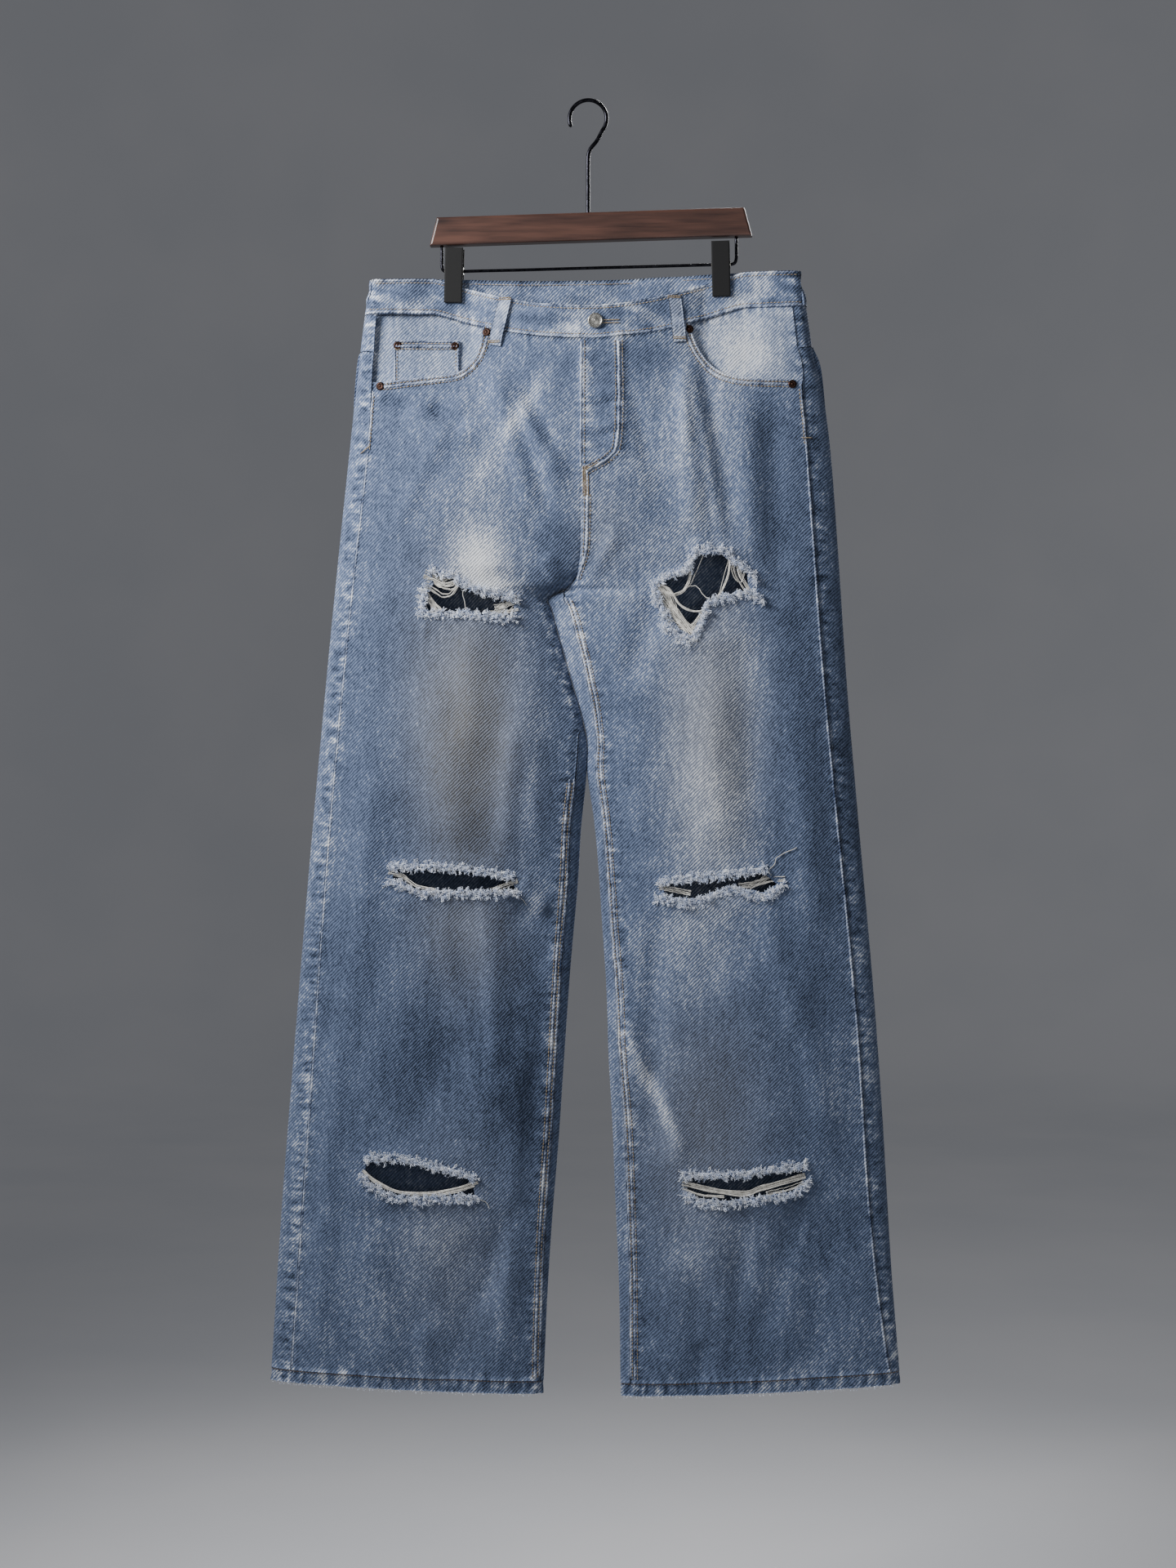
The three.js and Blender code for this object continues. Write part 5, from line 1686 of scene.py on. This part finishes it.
# ---- sewing
class Sewing:
    """Every row of stitches."""

    spacing = 3.4

    def __init__(self, finishes: Finishes) -> None:
        """Keeps the finishes."""
        self.finishes = finishes
        self.item = Items.stitch()

    def build(self) -> None:
        """Builds the seam ridges and places all stitches as four pieces."""
        gold = self.finishes.gold
        self._ridges()
        self._rows("stitches_front", self._front_rows(), gold)
        self._rows("stitches_back", self._back_rows(), gold)
        self._rows("stitches_hem", self.leg_rows(HEM_TOP - 0.5, 3, 0.75), self.finishes.brown)
        self._rows("bartacks", self._bartacks(), gold, 1.15)
        bpy.data.objects.remove(self.item)

    def _rows(self, name: str, paths: Sequence[Path], material: Material,
            spacing: float = spacing) -> None:
        """One piece of stitches.

        Args: name: name of the piece; paths: lines to stitch along; material: thread; spacing: distance
            between stitches.
        """
        strands = [path.sampled(2) for path in paths]
        turned = 0.12 if spacing > 2 else 0.3
        obj = Repeater.scatter(name, strands, self.item, material, spacing, (0.92, 1.08), 0.06, turned, 3)
        carry(obj)

    @staticmethod
    def _level(zn: float, face: Face, x0: float, x1: float, lift: float) -> Path:
        """A row along the waist.

        Args: zn: nominal height; face: front or back; x0: start; x1: end; lift: distance out of the face.
        Returns: the path.
        """
        x = np.linspace(x0, x1, 60)
        z = Form.lowered(LEFT, x, np.full_like(x, zn), face)
        relief = Trims.band_relief if face is Face.FRONT else None
        return Path(tuple(zip(x, z)), face, lift, False, relief)

    @staticmethod
    def _offset(points: Sequence[Point2], distance: float) -> tuple[Point2, ...]:
        """A line moved sideways.

        Args: points: corners; distance: distance moved, to the left of its direction when positive.
        Returns: moved corners.
        """
        line = np.array(points, float)
        way = np.gradient(line, axis=0)
        way /= np.linalg.norm(way, axis=1, keepdims=True)
        moved = line + distance * np.stack([-way[:, 1], way[:, 0]], axis=1)
        return tuple(map(tuple, moved))

    @staticmethod
    def _on_front(points: Sequence[Point2], lift: float = 0.3) -> Path:
        """A line on a front panel."""
        return Path(tuple(points), lift=lift, relief=Panels.front_relief)

    @staticmethod
    def _along(side: Side, high: float, low: float, inner: bool, gap: float) -> list[Point2]:
        """A line beside a seam of one front.

        Args: side: half of the garment; high: upper end; low: lower end; inner: whether it follows the
            inseam, or else the side seam; gap: distance from the seam towards the middle of the front.
        Returns: corners.
        """
        zn = np.linspace(high, low, 60)
        if inner:
            x = side.inner(zn) + side.sign * (side.inseam(zn) + gap)
        else:
            x = side.outer(zn) - side.sign * (side.outseam(zn) + gap)
        return list(zip(x, Form.lowered(side, x, zn, Face.FRONT)))

    def _front_rows(self) -> list[Path]:
        """Rows on the front.

        Returns: paths.
        """
        rows = [self._level(WAIST_TOP - 4, Face.FRONT, -205, -7, 0.2),
            self._level(WAIST_TOP - 4, Face.FRONT, -3, 200, 0.2),
            self._level(WAIST_SEAM + 3.8, Face.FRONT, -210, -7, 0.2),
            self._level(WAIST_SEAM + 3.8, Face.FRONT, -3, 205, 0.2)]
        for name, turn in (("left", -1), ("right", 1)):
            edge = POCKET_MOUTHS[name][:MOUTH_CORNERS]
            for distance in (2.9, 7.6):
                rows.append(self._on_front(self._offset(edge, turn * -distance)))
        rows += [Path(((-186, -233), (-126, -233)), lift=-2.5),
            Path(((-186, -238.5), (-126, -238.5)), lift=-2.5),
            Path(((-184.5, -232), (-184.5, -268)), lift=-2.5),
            Path(((-127.5, -232), (-127.5, -262)), lift=-2.5)]
        curve = ((33.6, -335.5), (25.7, -349.5), (14, -357), (3.8, -362.6))
        rows += [self._on_front(((34.5, -236), (35.5, -290), *curve)),
            self._on_front(((27.5, -236), (28.3, -288), (26.5, -333), (19.8, -345), (9.5, -351.5),
            (0.5, -356))), self._on_front(((-1.4, -236), (-1.4, -300), (-1.2, -352))),
            self._on_front(((-1.2, -384), (-1.6, -410), (-3, -440))),
            self._on_front(((4.4, -384), (4, -410), (2.2, -438), (-6, -462)))]
        for side in SIDES:
            rows.append(self._on_front(self._along(side, -284, -334, False, 2.8)))
        for side, high in ((LEFT, -660), (RIGHT, -484)):
            for gap in (2.6, 7.4):
                rows.append(self._on_front(self._along(side, high, -1222, True, gap)))
        return rows

    def _ridge_lines(self) -> list[tuple[Path, float]]:
        """Rolled and felled edges: their lines and radii.

        Returns: paths and radii.
        """
        ridges = []
        for name, turn in (("left", -1), ("right", 1)):
            edge = POCKET_MOUTHS[name][:MOUTH_CORNERS]
            for distance, radius in ((1.2, 1.2), (5.2, 1.5)):
                ridges.append((self._on_front(self._offset(edge, turn * -distance), -0.4), radius))
        ridges += [(Path(((-187, -230.8), (-125, -230.8)), lift=-3.2), 1.2),
            (Path(((-186, -235.8), (-126, -235.8)), lift=-3.4), 1.6),
            (Path(((-186.6, -231), (-186.6, -270)), lift=-3.3), 1.1),
            (Path(((-125.6, -231), (-125.6, -264)), lift=-3.3), 1.1)]
        fly = ((31, -236), (32, -290), (30, -334), (22.8, -347), (11.8, -354.5), (2.2, -359.5))
        ridges += [(self._on_front(fly, -0.3), 1.4), (self._on_front(((-4.6, -236), (-4.6, -356)), -0.5),
            1.4), (self._on_front(((1.6, -360), (1.3, -410), (-0.4, -438), (-9, -463)), -0.3), 1.5)]
        for side in SIDES:
            ridges.append((self._on_front(self._along(side, -278, -1222, False, 1.4), -0.5), 1.2))
        for side, high in ((LEFT, -655), (RIGHT, -480)):
            for gap in (1, 5):
                ridges.append((self._on_front(self._along(side, high, -1222, True, gap), -0.5), 1.3))
        for zn, x0, x1 in ((WAIST_SEAM + 1.2, -211, -7), (WAIST_SEAM + 1.2, -4, 206),
                (WAIST_TOP - 1.4, -207, -7), (WAIST_TOP - 1.4, -4, 202)):
            ridges.append((self._level(zn, Face.FRONT, x0, x1, -0.6), 1.2))
        return ridges

    def _ridges(self) -> None:
        """Builds the rolled and felled edges as one piece."""
        strands, radii = [], []
        for index, (path, radius) in enumerate(self._ridge_lines()):
            points, out = path.sampled(2.4)
            along = np.arange(len(points)) * 2.4
            bump = lattice_noise(along, np.full(len(points), 9 * index), 4.2, 61)
            strands.append((points, out))
            radii.append(radius * (1 + 0.34 * bump))
        obj = Repeater.lines("seam_ridges", strands, radii)
        Repeater.run(obj, Repeater.yarn_tree(), Sides=8, Material=self.finishes.ridge)
        WashAndPaintedLight.paint(obj)
        worn_and_painted_light = np.ones(len(obj.data.vertices), np.float32)
        obj.data.attributes["wear_level"].data.foreach_set("value", worn_and_painted_light)
        carry(obj)

    def _back_rows(self) -> list[Path]:
        """Rows on the back and inside the back of the waistband.

        Returns: paths.
        """
        rows = [self._level(WAIST_TOP - 4, Face.BACK, -205, 200, 0.3),
            self._level(WAIST_SEAM + 3.6, Face.BACK, -208, 204, 0.3)]
        for low, high in ((-205, -178), (-140, 138), (166, 200)):
            rows.append(self._level(WAIST_TOP - 4, Face.BACK, low, high, -2.85))
        for shift in (3, 8.5):
            for sign in (-1, 1):
                x = np.linspace(CENTRE_X, CENTRE_X + sign * 205, 30)
                z = Panels._yoke_end(x) + shift
                rows.append(Path(tuple(zip(x, z)), Face.BACK, 0.35, False))
            rows.append(Path(((-14 + shift, -280), (-14 + shift, -440)), Face.BACK, 0.4))
        for middle in (-113, 103):
            for inset in (2.5, 8):
                wide, low = 66 - inset, -424 + inset * 0.9
                rows.append(Path(((middle - 76 + inset, -294), (middle - wide, low), (middle, low - 22),
                    (middle + wide, low), (middle + 76 - inset, -294)), Face.BACK, 3, False))
            for z in (-296, -308):
                rows.append(Path(((middle - 72, z), (middle + 72, z)), Face.BACK, 3))
        return rows

    @staticmethod
    def leg_rows(zn: float, inset: float, lift: float) -> list[Path]:
        """Lines round both leg ends.

        Args: zn: nominal height; inset: distance kept from the folds; lift: distance out of the cloth.
        Returns: paths.
        """
        rows = []
        for side in SIDES:
            x0, x1 = side.outer(zn) - side.sign * inset, side.inner(zn) + side.sign * inset
            x = np.linspace(float(x0), float(x1), 50)
            for face in Face:
                z = Form.lowered(side, x, np.full_like(x, zn), face)
                rows.append(Path(tuple(zip(x, z)), face, lift, False))
        return rows

    @staticmethod
    def _bartacks() -> list[Path]:
        """Dense short rows at points that take strain.

        Returns: paths.
        """
        tack = lambda x, z, half, face, lift, dz=0: Path(((x - half, z - dz), (x + half, z + dz)), face,
            lift)
        rows = [tack(-215, -336, 4, Face.FRONT, 0.9, 3), tack(210.7, -328.5, 4, Face.FRONT, 0.9),
            tack(6, -356, 5, Face.FRONT, 1.3, 3), Path(((15.5, -214.6), (30.5, -214.2)), lift=0.7),
            Path(((15.5, -217.4), (30.5, -217)), lift=0.7)]
        for x in (-2.4, -0.8, 0.8, 2.4):
            rows.append(Path(((x, -357), (x, -383)), lift=0.6))
        for loop in BELT_LOOPS:
            for x, z in (loop.start, loop.end):
                step = 2.5 if (x, z) == loop.end else -2.5
                for shift in (0, 1.5):
                    rows.append(tack(x, z + step + shift, 5, loop.face, 2.75))
        return rows


# ---- frayed cloth
class Fraying:
    """Cut yarn ends along the rips and hems, and loose yarns across the rips."""

    def __init__(self, finishes: Finishes) -> None:
        """Keeps the finishes and makes the tufts."""
        self.finishes = finishes
        self.tufts = [Items.tuft(seed) for seed in (11, 12, 13)]

    def build(self) -> None:
        """Builds every frayed edge and loose yarn."""
        for side in SIDES:
            self._fringe(side)
            self._yarns(side)
        self._hem_fuzz()
        for tuft in self.tufts:
            bpy.data.objects.remove(tuft)

    def _fringe(self, side: Side) -> None:
        """Tufts along the rips of one leg.

        Args: side: half of the garment.
        """
        parts = []
        for row, tuft in enumerate(self.tufts):
            strands = []
            for rip in RIPS[side.name]:
                middle = np.mean(rip.outline, axis=0)
                for line in rip.frayed:
                    dense = Path.curve(np.array(line, float), 6)
                    away = np.array([0.0, 1.0 if dense[:, 1].mean() > middle[1] else -1.0])
                    if np.ptp(dense[:, 1]) > np.ptp(dense[:, 0]):
                        away = np.array([1.0 if dense[:, 0].mean() > middle[0] else -1.0, 0.0])
                    moved = dense + away * (row * 2.2 - 3.2)
                    path = Path(tuple(map(tuple, moved)), lift=0.9 - 0.3 * row, smooth_line=False)
                    strands.append(path.sampled(2.0))
            parts.append(Repeater.scatter(f"fringe_row_{row}", strands, tuft, self.finishes.fringe, 1.2,
                (0.6, 1.35), 1.2, 3.1, 17 + row))
        obj = Cloth.join(f"fringe_{side.name}", parts)
        carry(obj)

    def _yarns(self, side: Side) -> None:
        """Loose yarns across the rips of one leg.

        Args: side: half of the garment.
        """
        rng = np.random.default_rng(71 if side is LEFT else 72)
        strands, radii = [], []
        for rip in RIPS[side.name]:
            for yarn in rip.yarns:
                for _ in range(yarn.count):
                    strands.append(self._strand(yarn, rng))
                    radii.append(yarn.radius * rng.uniform(0.5, 0.9))
        obj = Repeater.lines(f"loose_yarn_{side.name}", strands, radii)
        Repeater.run(obj, Repeater.yarn_tree(), Sides=5, Material=self.finishes.weft)
        carry(obj)

    @staticmethod
    def _strand(yarn: Yarn, rng: np.random.Generator) -> tuple[Array, Array]:
        """One strand of a bundle.

        Args: yarn: the bundle; rng: random source.
        Returns: points and outward directions.
        """
        corners = np.array(yarn.points, float)
        way = np.gradient(corners, axis=0)
        way /= np.linalg.norm(way, axis=1, keepdims=True)
        side_way = np.stack([-way[:, 1], way[:, 0]], axis=1)
        shift = rng.uniform(-0.6, 0.6) * yarn.spread
        wander = rng.normal(0.0, 0.45 if yarn.count > 1 else 0.2, (len(corners), 1))
        dense = Path.curve(corners + side_way * (shift + wander), 9)
        t = np.linspace(0.0, 1.0, len(dense))
        wave = 0.22 * np.sin(t * rng.uniform(20, 34) + rng.uniform(0, 6))
        lift = mix(1.2, yarn.rise, np.sin(math.pi * t) ** 0.5) + rng.uniform(-0.5, 0.5)
        x, z = dense[:, 0], dense[:, 1] + wave
        low = Form.on_face(x, z, Face.FRONT, lift)
        return low, Form.on_face(x, z, Face.FRONT, lift + 1.0) - low

    def _hem_fuzz(self) -> None:
        """Short worn ends along the bottom of the legs."""
        parts = []
        for row, (shift, tuft) in enumerate(((0.3, self.tufts[0]), (-1.2, self.tufts[1]))):
            strands = [path.sampled(2.0) for path in Sewing.leg_rows(HEM_END + shift, 4.0, 0.1)]
            parts.append(Repeater.scatter(f"hem_row_{row}", strands, tuft, self.finishes.fringe, 3.2,
                (0.3, 0.5), 1.0, 3.1, 27 + row))
        obj = Cloth.join("hem_fuzz", parts)
        carry(obj)


# ---- metal and wood
@dataclass(frozen=True)
class Stud:
    """A turned metal fastener on the front: rivet or button."""

    node: str
    at: Point2
    lift: float
    profile: Sequence[Point2]

    def build(self, material: Material) -> None:
        """Turns the stud and seats it on the cloth.

        Args: material: its metal.
        """
        low = Form.on_face(*self.at, Face.FRONT, self.lift)
        normal = Form.on_face(*self.at, Face.FRONT, self.lift + 1) - low
        normal /= np.linalg.norm(normal)
        first = np.cross(normal, (0, 0, 1))
        first /= np.linalg.norm(first)
        second = np.cross(normal, first)
        count = 40
        angles = np.linspace(0, 2 * math.pi, count, endpoint=False)
        ring = np.cos(angles)[:, None] * first + np.sin(angles)[:, None] * second
        points = [low[None] + radius * ring + height * normal for radius, height in self.profile]
        faces = ring_faces(len(self.profile), count)
        last = (len(self.profile) - 1) * count
        faces += [tuple(range(count))[::-1], tuple(range(last, last + count))]
        obj = mesh_object(f"{self.node}_turned", np.concatenate(points), faces)
        obj.data.materials.append(material)
        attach(obj, "root")
        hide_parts(self.node)


RIVET = ((3.9, 0), (4.1, 0.25), (3.9, 0.6), (3.2, 0.95), (2.5, 1.1), (2.1, 0.95), (1.6, 0.7), (1.2, 0.8),
    (0.8, 1.15), (0.3, 1.3))
BUTTON = ((7.1, 0), (7.4, 0.5), (7.4, 1.2), (7, 2), (6.4, 2.4), (6, 2.3), (5.7, 1.9), (5.2, 1.75),
    (4.7, 2), (4.3, 1.8), (3.8, 1.75), (3, 1.95), (2.2, 2.2), (1.4, 2.1), (0.9, 2.45), (0.3, 2.5))
STUDS = (Stud("rivet_left_inner", (-97.2, -223.6), 0.4, RIVET),
    Stud("rivet_left_outer", (-200.5, -274.8), 0.4, RIVET),
    Stud("rivet_coin_left", (-184, -234.8), -2.8, RIVET),
    Stud("rivet_coin_right", (-128.5, -235.5), -2.8, RIVET),
    Stud("rivet_right_inner", (98.4, -223), 0.4, RIVET),
    Stud("rivet_right_outer", (197, -277), 0.4, RIVET), Stud("waist_button", (8.5, -215), 0.7, BUTTON))


@dataclass
class Hanger:
    """The wire hook and rail; bar and clips keep their solid form with finer materials."""

    finishes: Finishes
    nodes: dict

    def build(self) -> None:
        """Builds the wires and dresses the solid parts."""
        angles = np.radians(np.linspace(205, -38, 60))
        bow = np.stack([18 * np.cos(angles), 18 * np.sin(angles) - 16.1], axis=1)
        tail = Path.curve(np.array([bow[-1], (8.6, -37.5), (2.6, -45), (0.3, -52), (0, -60), (0, -75),
            (0, -90), (0, -105), (0, -124)], float), 6)
        self._wire("hook_wire", "hook", np.concatenate([bow[:-1], tail]), 1.9)
        rail = np.array([(-142.3, -129), (-142.3, -137), (-142.3, -145), (-142.3, -151), (-142.3, -156),
            (-141.1, -160.6), (-137.3, -162.4), (-130, -162.5), (-110, -162), (-60, -161.5), (0, -160.6),
            (60, -159.9), (110, -159.2), (130, -159.2), (138.2, -158.9), (142, -157.2), (143.2, -152.5),
            (143.2, -147), (143.2, -140), (143.2, -125)], float)
        self._wire("rail_wire", "hanger_rail", Path.curve(rail, 6), 1.5)
        solid = {"hanger_bar": self.finishes.walnut}
        for side in ("left", "right"):
            for part in ("front", "back"):
                solid[f"clip_{side}_{part}"] = self.finishes.black_plate
            solid[f"clip_{side}_pivot"] = self.finishes.nickel
        for name, material in solid.items():
            obj = self.nodes[name]
            obj.data.materials.clear()
            obj.data.materials.append(material)
        for stud in STUDS:
            nickel = stud.profile is BUTTON
            stud.build(self.finishes.nickel if nickel else self.finishes.copper)

    def _wire(self, name: str, node: str, line: Array, radius: float) -> None:
        """A bent wire with rounded ends.

        Args: name: name of the object; node: CAD node it stands for; line: points as (x, z); radius: wire
            radius.
        """
        points = np.stack([line[:, 0], np.zeros(len(line)), line[:, 1]], axis=1)
        radii = np.full(len(points), radius)
        radii[[0, -1]] = radius * 0.55
        vertices, faces = Items.tube(points, radii, 20)
        obj = mesh_object(name, vertices, faces)
        obj.data.materials.append(self.finishes.black_nickel)
        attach(obj, "root")
        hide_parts(node)


# ---- studio
@dataclass(frozen=True)
class Studio:
    """Pale floor that curves up all round, a soft key light, a weak fill and a rear light."""

    floor_level: float = -1.62
    middle: float = -0.65965

    def build(self, material: Material) -> None:
        """Builds the set, the lights and the camera.

        Args: material: finish of the floor.
        """
        self._sweep(material)
        self._light("key", (-1.1, -0.72, 0.22), 0.55, 14.5, (0, 0, -0.36), 110)
        self._light("fill", (0.5, -2.9, -0.6), 1.2, 8.5, (0, 0, self.middle), 180)
        self._light("rear", (0.6, 2.1, 0.75), 1, 12, (0, 0, self.middle), 80)
        world = bpy.data.worlds.new("studio")
        world.use_nodes = True
        world.node_tree.nodes["Background"].inputs[0].default_value = (0.93, 0.95, 1, 1)
        world.node_tree.nodes["Background"].inputs[1].default_value = 0.17
        bpy.context.scene.world = world
        camera = bpy.data.cameras.new("camera")
        camera.lens = 60
        camera.sensor_width = 36
        obj = bpy.data.objects.new("camera", camera)
        bpy.context.collection.objects.link(obj)
        angle = math.radians(4)
        obj.location = (2.528 * math.sin(angle), -2.528 * math.cos(angle), self.middle)
        way = Vector((0, 0, self.middle)) - obj.location
        obj.rotation_euler = way.to_track_quat("-Z", "Y").to_euler()
        bpy.context.scene.camera = obj

    def _sweep(self, material: Material) -> None:
        """The round floor and its curved rise, through which the ambient light passes.

        Args: material: finish of the floor.
        """
        reach, radius, count = 5.2, 1.6, 72
        turn = np.linspace(0, math.pi / 2, 20)
        r = np.concatenate([[1.5, 3.5], reach + radius * np.sin(turn), [reach + radius]])
        z = np.concatenate([[0, 0], radius - radius * np.cos(turn), [7]]) + self.floor_level
        angles = np.linspace(0, 2 * math.pi, count, endpoint=False)
        points = [(a * math.cos(t), a * math.sin(t), c) for a, c in zip(r, z) for t in angles]
        faces = [face[::-1] for face in ring_faces(len(r), count)] + [tuple(range(count))]
        obj = mesh_object("floor", np.array(points) / MM, faces)
        obj.data.materials.append(material)
        obj.visible_shadow = False
        obj.visible_diffuse = False

    @staticmethod
    def _light(name: str, at: tuple[float, float, float], size: float, power: float,
            aim: tuple[float, float, float], spread: float) -> None:
        """A square soft light aimed at the garment.

        Args: name: name of the light; at: position in metres; size: side in metres; power: power in
            watts; aim: point it is turned to, in metres; spread: width of its beam in degrees.
        """
        light = bpy.data.lights.new(name, "AREA")
        light.size = size
        light.energy = power
        light.spread = math.radians(spread)
        obj = bpy.data.objects.new(name, light)
        bpy.context.collection.objects.link(obj)
        obj.location = at
        way = Vector(aim) - obj.location
        obj.rotation_euler = way.to_track_quat("-Z", "Y").to_euler()


def main() -> None:
    """Builds the garment, the hanger and the studio."""
    logging.basicConfig(level=logging.INFO, format="%(name)s: %(message)s")
    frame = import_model()
    finishes = Finishes()
    for assembly in (Panels(finishes), Trims(finishes)):
        assembly.build()
        assembly.dress()
        LOG.info("%s finished", type(assembly).__name__)
    Sewing(finishes).build()
    Fraying(finishes).build()
    Hanger(finishes, frame["nodes"]).build()
    LOG.info("hanger finished")
    Studio().build(finishes.floor)


if __name__ == "__main__":
    main()
